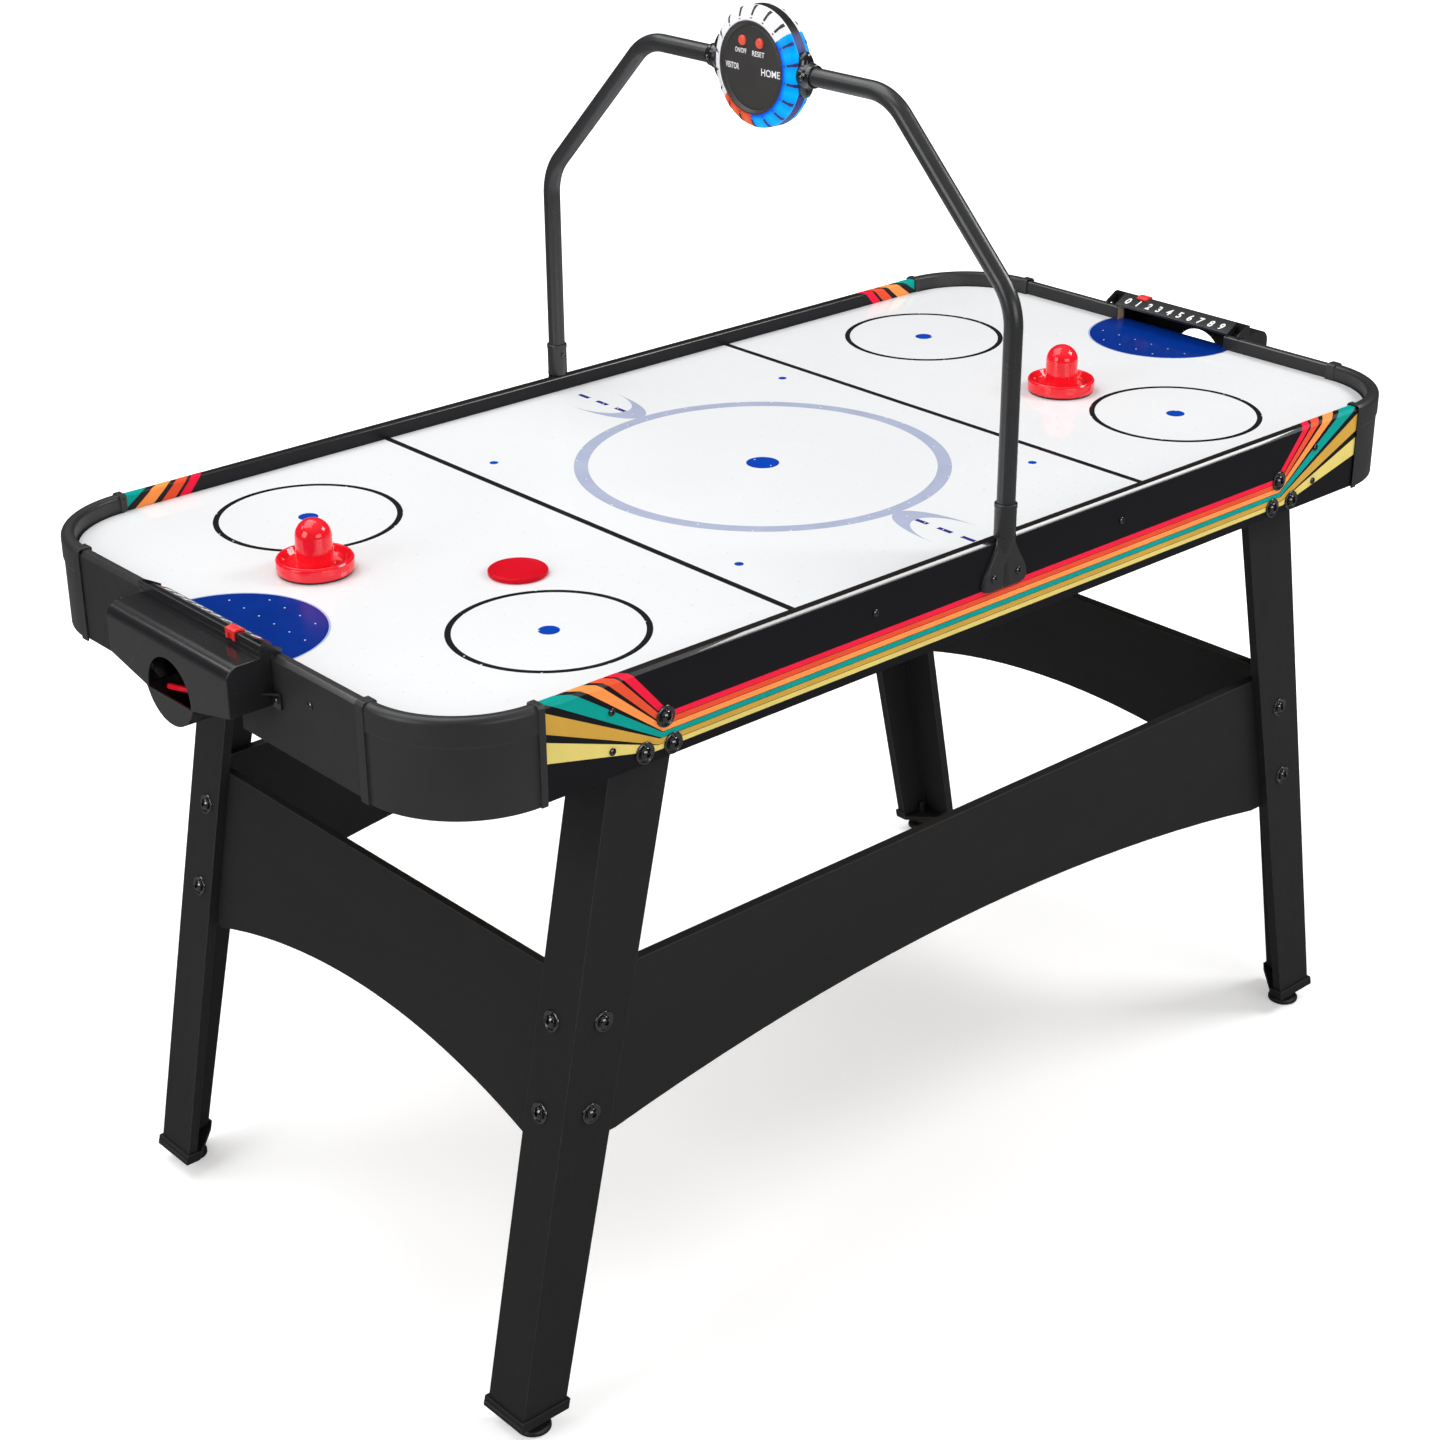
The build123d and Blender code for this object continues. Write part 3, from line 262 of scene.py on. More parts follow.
# fasteners
surface("bolt_black", (0.006, 0.006, 0.0065), rough=(0.06, 0.14), cloud=0.2,
        cloud_scale=90, grain=0.1, bump=0.1, bump_scale=1200, coat=1.0, coat_rough=0.03,
        spec=0.9)
surface("washer_black", (0.014, 0.0135, 0.013), rough=(0.16, 0.26), cloud=0.12,
        cloud_scale=90, grain=0.06, bump=0.06, bump_scale=1200, bump_depth=0.00005,
        coat=1.0, coat_rough=0.10, spec=0.9)
surface("screw_black", (0.009, 0.009, 0.0095), rough=(0.12, 0.22), cloud=0.2,
        cloud_scale=120, grain=0.08, bump=0.06, bump_scale=1400, bump_depth=0.00005,
        spec=0.9, coat=0.7, coat_rough=0.05)
surface("nut_zinc", (0.50, 0.51, 0.53), rough=(0.26, 0.42), cloud=0.2, cloud_scale=80,
        grain=0.1, bump=0.25, bump_scale=900, metal=1.0)
surface("white_print", (0.82, 0.82, 0.83), rough=(0.35, 0.5), cloud=0.05, bump=0.2,
        light=(0.9, 0.9, 0.9))


def ink(name, colour, rough=(0.12, 0.2), coat=0.25, cloud=0.06, spec=0.5):
    surface(name, colour, rough=rough, cloud=cloud, cloud_scale=30, grain=0.05, grain_scale=900,
            bump=0.06, bump_scale=1200, bump_depth=0.00005, coat=coat, coat_rough=0.06,
            spec=spec, light=scaled(colour, 1.25))


ink("ink_black", (0.012, 0.012, 0.013))
ink("ink_blue", (0.0012, 0.026, 0.22), rough=(0.16, 0.24), coat=0.0, cloud=0.08, spec=0.13)
ink("ink_dot_blue", (0.002, 0.050, 0.40), cloud=0.08, coat=0.0, spec=0.25)
ink("ink_outline_blue", (0.42, 0.50, 0.72))
ink("ink_ring_grey", (0.415, 0.455, 0.60), cloud=0.05)
ink("ink_navy", (0.030, 0.032, 0.22))
ink("air_hole_rim", (0.74, 0.75, 0.78), rough=(0.3, 0.5))


# ------------------------------------------------------------------ board materials
def raw_board():
    """Pressed fibreboard: brown felt of fibres with darker flecks."""
    g = Material("raw_fibreboard")
    clouds = g.noise(26.0, detail=5.0, rough=0.6)
    fibres = g.noise(900.0, detail=4.0, rough=0.7, stretch=(1.0, 1.0, 3.0))
    colour = g.mix(g.spread(clouds), (0.225, 0.150, 0.085), (0.300, 0.205, 0.120))
    colour = g.mix(g.spread(fibres, high=0.75), colour, (0.40, 0.29, 0.18))
    cells = g.node("ShaderNodeTexVoronoi", {"Vector": g.place, "Scale": 1200.0})
    specks = g.remap(cells.outputs["Distance"], 0.0, 0.22, 0.5, 0.0)
    g.shade({
        "Base Color": g.mix(specks, colour, (0.09, 0.055, 0.03)),
        "Roughness": g.spread(fibres, 0.75, 0.92),
        "Normal": g.bump(fibres, strength=0.6, distance=0.0003),
    })


def underside(g, z, normal_z):
    """Mask of the downward faces at the foot of the aprons."""
    return g.math("MULTIPLY", g.math("LESS_THAN", z, 0.7436),
                  g.math("LESS_THAN", normal_z, -0.6))


def chamfer(g, normal_z):
    """Mask of faces that slope upward."""
    return g.between(normal_z, 0.35, 0.93)


def end_board():
    """Matt black laminate, bare fibreboard where the goal notch is cut through; that fibreboard
    is painted lighter than the raw board, as painted light.
    """
    g = Material("end_apron_laminate")
    _, y, z = g.split(g.place)
    normal_x, _, normal_z = g.normal_parts()
    notch = g.math("MULTIPLY", g.math("LESS_THAN", g.math("ABSOLUTE", y), 0.0886),
                   g.math("LESS_THAN", g.math("ABSOLUTE", normal_x), 0.5))
    bare = g.math("MAXIMUM", notch, underside(g, z, normal_z))
    clouds = g.noise(9.0, detail=3.0, rough=0.55)
    grains = g.noise(420.0, detail=2.0, rough=0.6)
    black = g.mix(g.spread(clouds), (0.0195, 0.0195, 0.0203), (0.0240, 0.0240, 0.0250))
    black = g.mix(g.flecks(grains, 0.10), black, (0.022, 0.022, 0.023))
    fibres = g.noise(900.0, detail=4.0, rough=0.7, stretch=(1.0, 1.0, 3.0))
    # the bare fibreboard of the notch and underside is painted much lighter than raw_fibreboard:
    # painted light on faces that lie in shade
    brown = g.mix(g.spread(fibres), (0.36, 0.25, 0.155), (0.62, 0.47, 0.32))
    polish = g.spread(g.noise(28.0, detail=4.0, rough=0.6), 0.44, 0.56)
    relief = g.noise(1100.0, detail=2.0, rough=0.6)
    g.shade({
        "Base Color": g.mix(bare, black, brown),
        "Roughness": g.math("ADD", polish, g.math("MULTIPLY", bare, 0.3)),
        "Specular IOR Level": 0.28,
        "Coat Weight": chamfer(g, normal_z),
        "Coat Roughness": 0.16,
        "Normal": g.bump(relief, strength=0.35, distance=0.00016),
    })


def side_board():
    """Near black navy laminate, painted lighter on upward faces as a painted sheen, with bare
    fibreboard on the underside.
    """
    g = Material("side_apron_laminate")
    z = g.split(g.place)[2]
    normal_z = g.normal_parts()[2]
    bare = underside(g, z, normal_z)
    clouds = g.noise(8.0, detail=3.0, rough=0.55, stretch=(0.25, 1, 1))
    grains = g.noise(500.0, detail=2.0, rough=0.6, stretch=(0.4, 1, 1))
    # upward faces are painted a lighter grey brown: a painted sheen on the top of the board
    upward = g.remap(normal_z, 0.3, 0.9, 0.0, 1.0)
    navy = g.mix(g.spread(clouds), (0.0040, 0.0037, 0.0058), (0.0058, 0.0054, 0.0082))
    navy = g.mix(g.flecks(grains, 0.07), navy, (0.015, 0.0145, 0.019))
    navy = g.mix(upward, navy, (0.012, 0.0105, 0.0095))
    fibres = g.noise(900.0, detail=4.0, rough=0.7)
    brown = g.mix(g.spread(fibres), (0.20, 0.13, 0.075), (0.40, 0.29, 0.18))
    polish = g.spread(g.noise(24.0, detail=4.0, rough=0.6, stretch=(0.3, 1, 1)), 0.28, 0.38)
    # only the chamfer along the top of the board is glossy
    top_edge = g.remap(z, 0.8391, 0.8402, 0.0, 1.0)
    relief = g.bump(g.noise(620.0, detail=2.0, rough=0.65), strength=0.30, distance=0.00022)
    waves = g.noise(30.0, detail=2.0, rough=0.5, stretch=(0.4, 1, 1))
    g.shade({
        "Base Color": g.mix(bare, navy, brown),
        "Roughness": g.math("ADD", polish, g.math("MULTIPLY", bare, 0.45)),
        "Specular IOR Level": 0.22,
        "Coat Weight": g.math("MULTIPLY", chamfer(g, normal_z), top_edge),
        "Coat Roughness": 0.02,
        "Normal": g.bump(waves, strength=0.05, distance=0.0012, under=relief),
    })


def play_board():
    """Glossy, faintly cloudy white; faces not turned up, as in the air holes, are bare."""
    g = Material("play_white")
    bare = g.math("LESS_THAN", g.normal_parts()[2], 0.5)
    clouds = g.noise(5.0, detail=4.0, rough=0.55)
    grains = g.noise(700.0, detail=2.0, rough=0.6)
    white = g.mix(g.spread(clouds), (0.80, 0.806, 0.815), (0.83, 0.834, 0.84))
    white = g.mix(g.remap(grains, 0.4, 0.7, 0.0, 0.05), white, (0.86, 0.86, 0.87))
    polish = g.spread(g.noise(16.0, detail=4.0, rough=0.6), 0.085, 0.15)
    relief = g.bump(g.noise(1200.0, detail=2.0, rough=0.6), strength=0.05, distance=0.00006)
    waves = g.noise(22.0, detail=2.0, rough=0.5)
    g.shade({
        "Base Color": g.mix(bare, white, (0.26, 0.19, 0.12)),
        "Roughness": g.math("ADD", polish, g.math("MULTIPLY", bare, 0.5)),
        "Coat Weight": 0.25,
        "Coat Roughness": 0.05,
        "Normal": g.bump(waves, strength=0.025, distance=0.0010, under=relief),
    })


raw_board()
end_board()
side_board()
play_board()


# ------------------------------------------------------------------ mesh tools
def finish_piece(name, mesh, materials, body, sharp, replaces=None, weighted=False):
    for material in materials:
        mesh.materials.append(MATERIALS[material])
    piece = bpy.data.objects.new(name, mesh)
    COLLECTION.objects.link(piece)
    mesh.polygons.foreach_set("use_smooth", [True] * len(mesh.polygons))
    mesh.set_sharp_from_angle(angle=radians(sharp))
    if weighted:
        modifier = piece.modifiers.new("weighted", "WEIGHTED_NORMAL")
        modifier.keep_sharp = True
        modifier.weight = 80
    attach(piece, body)
    if replaces:
        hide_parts(replaces)


class Shape:
    """Collects vertices (metres) and faces with a material index."""

    def __init__(self):
        self.verts, self.faces, self.indices = [], [], []

    def add(self, verts, faces, material=0):
        start = len(self.verts)
        self.verts += [tuple(point) for point in verts]
        for face in faces:
            self.faces.append([i + start for i in face])
            self.indices.append(material)

    def make(self, name, materials, slot, sharp, body=TABLE, replaces=None):
        mesh = bpy.data.meshes.new(name)
        mesh.from_pydata(self.verts, [], self.faces)
        mesh.polygons.foreach_set("material_index", self.indices)
        bm = bmesh.new()
        bm.from_mesh(mesh)
        bmesh.ops.remove_doubles(bm, verts=bm.verts, dist=1e-7)
        bmesh.ops.recalc_face_normals(bm, faces=bm.faces)
        bm.to_mesh(mesh)
        bm.free()
        finish_piece(name, mesh, materials, body, sharp, replaces)

    def replace(self, node, material, slot, sharp, body=TABLE):
        """Makes the piece that stands in for a CAD node."""
        self.make(node + "_look", [material], slot, sharp, body, node)


def basis(axis):
    z = Vector(axis).normalized()
    reference = Vector((0, 0, 1)) if abs(z.z) < 0.9 else Vector((1, 0, 0))
    x = (reference - z * reference.dot(z)).normalized()
    return x, z.cross(x), z


def fillet(points, steps=6):
    """Rounds the inner points of an open outline of (a, b) or (a, b, corner radius)."""
    out = []
    for i, point in enumerate(points):
        radius = point[2] if len(point) > 2 else 0.0
        if radius <= 0 or i == 0 or i == len(points) - 1:
            out.append((point[0], point[1]))
            continue
        before, corner, after = (Vector(p[:2]) for p in points[i - 1:i + 2])
        u, v = before - corner, after - corner
        u_length, v_length = u.length, v.length
        u.normalize()
        v.normalize()
        angle = max(1e-3, min(pi - 1e-3, u.angle(v)))
        trim = min(radius / tan(angle / 2), u_length * 0.49, v_length * 0.49)
        fitted = trim * tan(angle / 2)
        centre = corner + (u + v).normalized() * (fitted / sin(angle / 2))
        first, last = corner + u * trim - centre, corner + v * trim - centre
        start, end = atan2(first.y, first.x), atan2(last.y, last.x)
        turn = (end - start + pi) % (2 * pi) - pi
        for k in range(steps + 1):
            a = start + turn * k / steps
            out.append((centre.x + fitted * cos(a), centre.y + fitted * sin(a)))
    return out


def closed(profile):
    return profile + [profile[0]]


def lathe(shape, profile, origin, axis, segments):
    """Turns (radius, height) in mm, from axis to axis or a closed loop."""
    x, y, z = basis(axis)
    origin = Vector(origin)
    verts, faces, rows = [], [], []
    for radius, height in profile:
        radius, height = radius * MM, height * MM
        count = 1 if radius < 1e-7 else segments
        rows.append(range(len(verts), len(verts) + count))
        if count == 1:
            verts.append(origin + z * height)
            continue
        for k in range(segments):
            a = 2 * pi * k / segments
            verts.append(origin + z * height + (x * cos(a) + y * sin(a)) * radius)
    for low, high in zip(rows, rows[1:]):
        for k in range(segments):
            after = (k + 1) % segments
            if len(low) == 1:
                faces.append([low[0], high[k], high[after]])
            elif len(high) == 1:
                faces.append([low[k], high[0], low[after]])
            else:
                faces.append([low[k], high[k], high[after], low[after]])
    shape.add(verts, faces)


def crowd(u, power):
    """Moves stations in -1..1 towards both ends."""
    return (1 if u > 0 else -1) * (1 - (1 - abs(u)) ** power)


def closed_grid(shape, outer, inner, columns, side):
    """Shell between two grids of points in mm; side mirrors it in Y."""
    count = len(outer)
    rows = count // columns
    verts = [(x * MM, side * y * MM, z * MM) for x, y, z in outer + inner]
    faces = []
    for i in range(rows - 1):
        for k in range(columns - 1):
            a = i * columns + k
            faces.append([a, a + 1, a + columns + 1, a + columns])
            faces.append([count + a, count + a + columns, count + a + columns + 1, count + a + 1])
    for i in range(rows - 1):
        for k in (0, columns - 1):
            a = i * columns + k
            faces.append([a, a + columns, count + a + columns, count + a])
    for i in (0, rows - 1):
        for k in range(columns - 1):
            a = i * columns + k
            faces.append([a, count + a, count + a + 1, a + 1])
    shape.add(verts, faces)


def prism_faces(count):
    """Top, bottom and walls for count top points followed by count bottom points."""
    walls = [[i, (i + 1) % count, count + (i + 1) % count, count + i] for i in range(count)]
    return [range(count), range(2 * count - 1, count - 1, -1)] + walls


def extent(node):
    low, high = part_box(node)
    return low, high, (low + high) / 2


def islands(node):
    """Loose pieces of a CAD node, as lists of points in a fixed order."""
    mesh = NODES[node].data
    merged, index_of = {}, []
    for vert in mesh.vertices:
        key = tuple(round(part * 1e6) for part in vert.co)
        index_of.append(merged.setdefault(key, len(merged)))
    parent = list(range(len(merged)))

    def root(i):
        while parent[i] != i:
            parent[i] = parent[parent[i]]
            i = parent[i]
        return i

    for edge in mesh.edges:
        a, b = (root(index_of[i]) for i in edge.vertices)
        if a != b:
            parent[a] = b
    groups = {}
    for key, i in merged.items():
        groups.setdefault(root(i), []).append(Vector([part * 1e-6 for part in key]))

    def lowest(points):
        return tuple(round(c, 5) for c in min(points, key=lambda p: (p.x, p.y, p.z)))

    return sorted(groups.values(), key=lowest)


def bevel(bm, edges, width, segments, clamp, material):
    bmesh.ops.bevel(bm, geom=edges, offset=width * MM, offset_type="OFFSET", segments=segments,
                    profile=0.5, affect="EDGES", clamp_overlap=clamp, material=material,
                    loop_slide=True)


def refine(node, materials, width, angle=28.0, min_length=3.0, sharp=32.0,
           is_wide=None, wide_width=0.0):
    """Copy of a CAD node with small rounded edges in its second material, if it has one.

    width and min_length are in mm; edges picked by is_wide are first rounded to wide_width.
    """
    source = NODES[node]
    bm = bmesh.new()
    bm.from_mesh(source.data)
    bmesh.ops.remove_doubles(bm, verts=bm.verts, dist=2e-6)
    bmesh.ops.dissolve_limit(bm, angle_limit=radians(0.35), verts=bm.verts[:],
                             edges=bm.edges[:])
    for face in bm.faces:
        face.material_index = 0
    edge_material = 1 if len(materials) > 1 else -1
    if is_wide is not None:
        edges = [e for e in bm.edges if len(e.link_faces) == 2 and is_wide(e)
                 and e.calc_face_angle(0.0) > radians(25)]
        bevel(bm, edges, wide_width, segments=5, clamp=True, material=edge_material)
    edges = [e for e in bm.edges if len(e.link_faces) == 2
             and e.calc_face_angle(0.0) > radians(angle) and e.calc_length() > min_length * MM]
    bevel(bm, edges, width, segments=2, clamp=False, material=edge_material)
    bmesh.ops.recalc_face_normals(bm, faces=bm.faces)
    mesh = bpy.data.meshes.new(node + "_look")
    bm.to_mesh(mesh)
    bm.free()
    # the CAD normals no longer fit the bevelled mesh
    cad_normals = mesh.attributes.get("custom_normal")
    if cad_normals is not None:
        mesh.attributes.remove(cad_normals)
    finish_piece(node + "_look", mesh, materials, source["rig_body"], sharp, node,
                 weighted=True)


def dress(node, material):
    """Keeps a CAD node's mesh and gives it a material."""
    materials = NODES[node].data.materials
    materials.clear()
    materials.append(MATERIALS[material])


# ------------------------------------------------------------------ cabinet and legs
for _, name in LONG_SIDES:
    refine("side_apron_" + name, ["side_apron_laminate"] * 2, 0.5)
for name in ENDS:
    refine("end_apron_" + name, ["end_apron_laminate"] * 2, 0.7)
for corner in CORNERS:
    refine("corner_cap_" + corner, ["moulding_black", "moulding_black_edge"],
           0.45, angle=30, min_length=2.0)
    refine("leg_" + corner, ["leg_charcoal", "leg_charcoal_edge"], 0.9)
    refine("leg_cap_" + corner, ["leg_cap_black", "moulding_black_edge"],
           0.5)
for name in ("front", "back", "left", "right"):
    refine("stretcher_" + name, ["stretcher_charcoal", "leg_charcoal_edge"],
           0.9)

# radius, height, corner radius
FOOT_PROFILE = [
    (0, 0), (17.2, 0, 0.4), (19.2, 1.6, 0.8), (19.2, 5.0, 1.0), (17.6, 6.9, 0.8),
    (9.4, 9.0, 1.2), (7.8, 12.0, 1.0), (7.2, 17.4, 0.5), (4.0, 18.4),
]
THREAD_START, THREAD_END, THREAD_PITCH = 18.6, 40.0, 1.25
THREAD_ROOT, THREAD_CREST = 3.55, 3.98


def levelling_foot(corner):
    node = "leveler_" + corner
    low, _, middle = extent(node)
    profile = fillet(FOOT_PROFILE, 4)
    z = THREAD_START
    while z < THREAD_END:
        profile += [(THREAD_ROOT, z), (THREAD_CREST, z + 0.35), (THREAD_CREST, z + 0.6),
                    (THREAD_ROOT, z + 0.95)]
        z += THREAD_PITCH
    profile += [(3.2, 40.9), (0, 41.0)]
    shape = Shape()
    lathe(shape, profile, (middle.x, middle.y, low.z), (0, 0, 1), 56)
    shape.replace(node, "foot_black", "foot_black", 40, body=node)


for corner in CORNERS:
    levelling_foot(corner)

# ------------------------------------------------------------------ board and chamber
for node, material in (
    ("playfield", "play_white"), ("plenum_frame", "raw_fibreboard"),
    ("plenum_floor", "raw_fibreboard"), ("blower_housing", "blower_grey"),
    ("blower_impeller", "blower_grey"), ("blower_motor", "motor_steel"),
    ("scorer_board", "circuit_green"), ("leg_nuts", "nut_zinc"),
):
    dress(node, material)


def striker_felt(end):
    """Felt ring under a striker."""
    low, high, middle = extent("felt_" + end)
    outer = (high.x - low.x) / 2 / MM
    inner, bottom, top = 30.0, 0.34, 1.98
    profile = fillet([(inner, bottom, 0.2), (outer, bottom, 0.5), (outer, top, 0.3),
                      (inner, top, 0.3)], 4)
    shape = Shape()
    lathe(shape, closed(profile), (middle.x, middle.y, low.z), (0, 0, 1), 96)
    shape.replace("felt_" + end, "felt_black", "felt_black", 50, body="pusher_" + end)


for end in ENDS:
    striker_felt(end)
refine("switch_bezel", ["blower_grey", "moulding_black_edge"], 0.4)
refine("switch_rocker", ["bolt_black", "moulding_black_edge"], 0.4)

# ------------------------------------------------------------------ printed playing surface
PLAY_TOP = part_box("playfield")[1].z
PRINT_BOTTOM = PLAY_TOP - 0.0002
# tops of the prints, in metres; overlapping prints lie at different levels
MARK_TOP = PLAY_TOP + 0.00008
ARC_TOP = PLAY_TOP + 0.00013
DASH_TOP = PLAY_TOP + 0.00018
RIM_TOP = PLAY_TOP + 0.00023
CORNER_SPOTS = [(x, y) for x in (-480, 480) for y in (-210, 210)]
SMALL_SPOTS = [(x, y) for x in (-226.5, 226.5) for y in (-209, 209)]


def plate(shape, outline, top, inner=None, ends_open=False):
    """Thin plate from one outline, or a band between two with as many points."""
    count = len(outline)
    points = outline + (inner or [])
    verts = [(x, y, height) for height in (top, PRINT_BOTTOM) for x, y in points]
    if inner is None:
        faces = prism_faces(count)
    else:
        faces = []
        for i in range(count - ends_open):
            j = (i + 1) % count
            faces += [
                [i, j, count + j, count + i],
                [2 * count + i, 3 * count + i, 3 * count + j, 2 * count + j],
                [i, 2 * count + i, 2 * count + j, j],
                [count + i, count + j, 3 * count + j, 3 * count + i],
            ]
    shape.add(verts, faces)


def circle(x, y, radius, count):
    return [((x + radius * cos(2 * pi * i / count)) * MM,
             (y + radius * sin(2 * pi * i / count)) * MM) for i in range(count)]


def rectangle(x0, x1, y0, y1):
    return [(x0 * MM, y0 * MM), (x1 * MM, y0 * MM), (x1 * MM, y1 * MM), (x0 * MM, y1 * MM)]


def print_piece(shape, name, material):
    shape.make(name, [material], "play_white", 30)


def black_marks():
    """Four corner rings and two lines across the board."""
    shape = Shape()
    for x, y in CORNER_SPOTS:
        plate(shape, circle(x, y, 102.7, 160), MARK_TOP, circle(x, y, 96.3, 160))
    for x in (-268.0, 268.0):
        plate(shape, rectangle(x - 4.2, x + 4.2, -359.4, 359.4), MARK_TOP)
    print_piece(shape, "rink_black_marks", "ink_black")


def centre_ring():
    """Ring round the middle and an arch that opens towards each long side."""
    shape = Shape()
    plate(shape, circle(0, 0, 216.0, 240), MARK_TOP, circle(0, 0, 199.8, 240))
    half_width, foot_y, outer_rise, inner_rise, steps = 34.5, 302, 87.5, 57.8, 64
    for side in (-1, 1):
        outer, inner = [], []
        for i in range(steps + 1):
            a = pi * i / steps
            outer.append((half_width * cos(a) * MM, side * (foot_y - outer_rise * sin(a)) * MM))
            pinch = 1 - 0.10 * sin(a) ** 2 * (1 - sin(a))
            inner.append((half_width * cos(a) * pinch * MM,
                          side * (foot_y - inner_rise * sin(a) ** 1.06) * MM))
        plate(shape, outer, ARC_TOP, inner, ends_open=True)
    print_piece(shape, "rink_centre_ring", "ink_ring_grey")


def blue_dots():
    shape = Shape()
    plate(shape, circle(0, 0, 19.0, 72), MARK_TOP)
    for x, y in CORNER_SPOTS:
        plate(shape, circle(x, y, 11.0, 56), MARK_TOP)
    for x, y in SMALL_SPOTS:
        plate(shape, circle(x, y, 5.1, 32), MARK_TOP)
    print_piece(shape, "rink_blue_dots", "ink_dot_blue")


def navy_dashes():
    """Three dashes on the middle line at each long side."""
    shape = Shape()
    for side in (-1, 1):
        for start, end in ((245.0, 262.5), (278.0, 298.0), (313.0, 332.0)):
            plate(shape, rectangle(-2.8, 2.8, side * start, side * end), DASH_TOP)
    print_piece(shape, "rink_navy_dashes", "ink_navy")


def goal_creases():
    """Half round blue field before each goal, and its pale outline."""
    centre_x = 714.0
    step_x, end_x = 722.4, 735.8
    half_width, mouth = 96.8, 87.4

    def arc(radius, steps=90):
        angles = [radians(90 + 180.0 * i / steps) for i in range(steps + 1)]
        return [(centre_x + radius * cos(a), radius * sin(a)) for a in angles]

    mouth_outline = [(step_x, -half_width), (step_x, -mouth), (end_x, -mouth),
                     (end_x, mouth), (step_x, mouth)]
    field_outline = [(step_x, half_width)] + arc(97.2) + mouth_outline
    fields, outlines = Shape(), Shape()
    for side in (-1, 1):
        for shape, outline in ((fields, field_outline), (outlines, arc(99.3) + arc(97.4)[::-1])):
            plate(shape, [(side * x * MM, y * MM) for x, y in outline], MARK_TOP)
    print_piece(fields, "rink_goal_creases", "ink_blue")
    print_piece(outlines, "rink_crease_outlines", "ink_outline_blue")


def air_hole_rims():
    """Rims on a regular grid, left out beyond the rounded corners."""
    pitch_x, pitch_y = 30.5, 27.2
    shape = Shape()
    for i in range(-22, 23):
        for j in range(-12, 12):
            x, y = i * pitch_x, (j + 0.5) * pitch_y
            in_corner = abs(x) > 600 and abs(y) > 238
            if in_corner and hypot(abs(x) - 620, abs(y) - 258) > 84:
                continue
            plate(shape, circle(x, y, 0.95, 12), RIM_TOP)
    print_piece(shape, "air_hole_rims", "air_hole_rim")


black_marks()
centre_ring()
blue_dots()
navy_dashes()
goal_creases()
air_hole_rims()

# ------------------------------------------------------------------ stripes over the long boards
APRON_LOW, APRON_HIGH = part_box("side_apron_front")
APRON_OUTER = -APRON_LOW.y / MM
APRON_BOTTOM, APRON_TOP = APRON_LOW.z / MM, APRON_HIGH.z / MM
APRON_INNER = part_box("playfield")[1].y / MM + 0.4
OUTER_CHAMFER, INNER_CHAMFER = 3.6, 1.6
STRIPE_LIFT, STRIPE_SINK = 0.10, 0.25
STRIPE_END = 615.8
# run of the sloping part, measured up the unrolled board; longer than the board is wide
STRIPE_RUN = 150.0
# name, colour, upper line, lower line; each line is its height along the middle, the x of
# its bend, and how far it then runs outward per mm up
STRIPES = [
    ("red", (0.87, 0.011, 0.047), (789.3, 466.3, 0.865), (783.6, 470.3, 0.922)),
    ("vermilion", (0.79, 0.082, 0.029), (783.0, 471.4, 0.965), (777.4, 473.1, 1.080)),
    ("orange", (0.98, 0.300, 0.072), (776.8, 473.8, 1.173), (771.0, 474.4, 1.333)),
    ("teal", (0.0, 0.315, 0.270), (770.4, 475.1, 1.467), (764.9, 476.4, 1.755)),
    ("gold", (0.59, 0.335, 0.052), (764.3, 478.0, 1.950), (758.7, 479.9, 2.480)),
    ("straw", (0.72, 0.585, 0.165), (758.1, 480.2, 2.890), (752.9, 483.5, 4.370)),
]
for name, colour, _, _ in STRIPES:
    surface("stripe_" + name, colour, rough=(0.30, 0.40), cloud=0.05, cloud_scale=20,
            grain=0.06, grain_scale=700, bump=0.15, bump_scale=900, spec=0.07,
            light=scaled(colour, 1.2))


def board_faces(side):
    """Faces of a long board from its outer foot over the top to the playing surface.

    Each is (length across, start, direction across, outward normal).
    """
    diagonal = sqrt(0.5)
    outer, inner = OUTER_CHAMFER, INNER_CHAMFER
    return [
        (APRON_TOP - outer - APRON_BOTTOM,
         (0, side * APRON_OUTER, APRON_BOTTOM), (0, 0, 1), (0, side, 0)),
        (outer * sqrt(2), (0, side * APRON_OUTER, APRON_TOP - outer),
         (0, -side * diagonal, diagonal), (0, side * diagonal, diagonal)),
        (APRON_OUTER - outer - (APRON_INNER + inner),
         (0, side * (APRON_OUTER - outer), APRON_TOP), (0, -side, 0), (0, 0, 1)),
        (inner * sqrt(2), (0, side * (APRON_INNER + inner), APRON_TOP),
         (0, -side * diagonal, -diagonal), (0, -side * diagonal, diagonal)),
        (APRON_TOP - inner - PLAY_TOP / MM - 0.05,
         (0, side * APRON_INNER, APRON_TOP - inner), (0, 0, -1), (0, -side, 0)),
    ]


def clip(polygon, inside):
    """Keeps the part of a polygon where inside(point) is not negative."""
    out = []
    for i, a in enumerate(polygon):
        b = polygon[(i + 1) % len(polygon)]
        value_a, value_b = inside(a), inside(b)
        if value_a >= 0:
            out.append(a)
        if (value_a >= 0) != (value_b >= 0):
            t = value_a / (value_a - value_b)
            out.append((a[0] + (b[0] - a[0]) * t, a[1] + (b[1] - a[1]) * t))
    return out


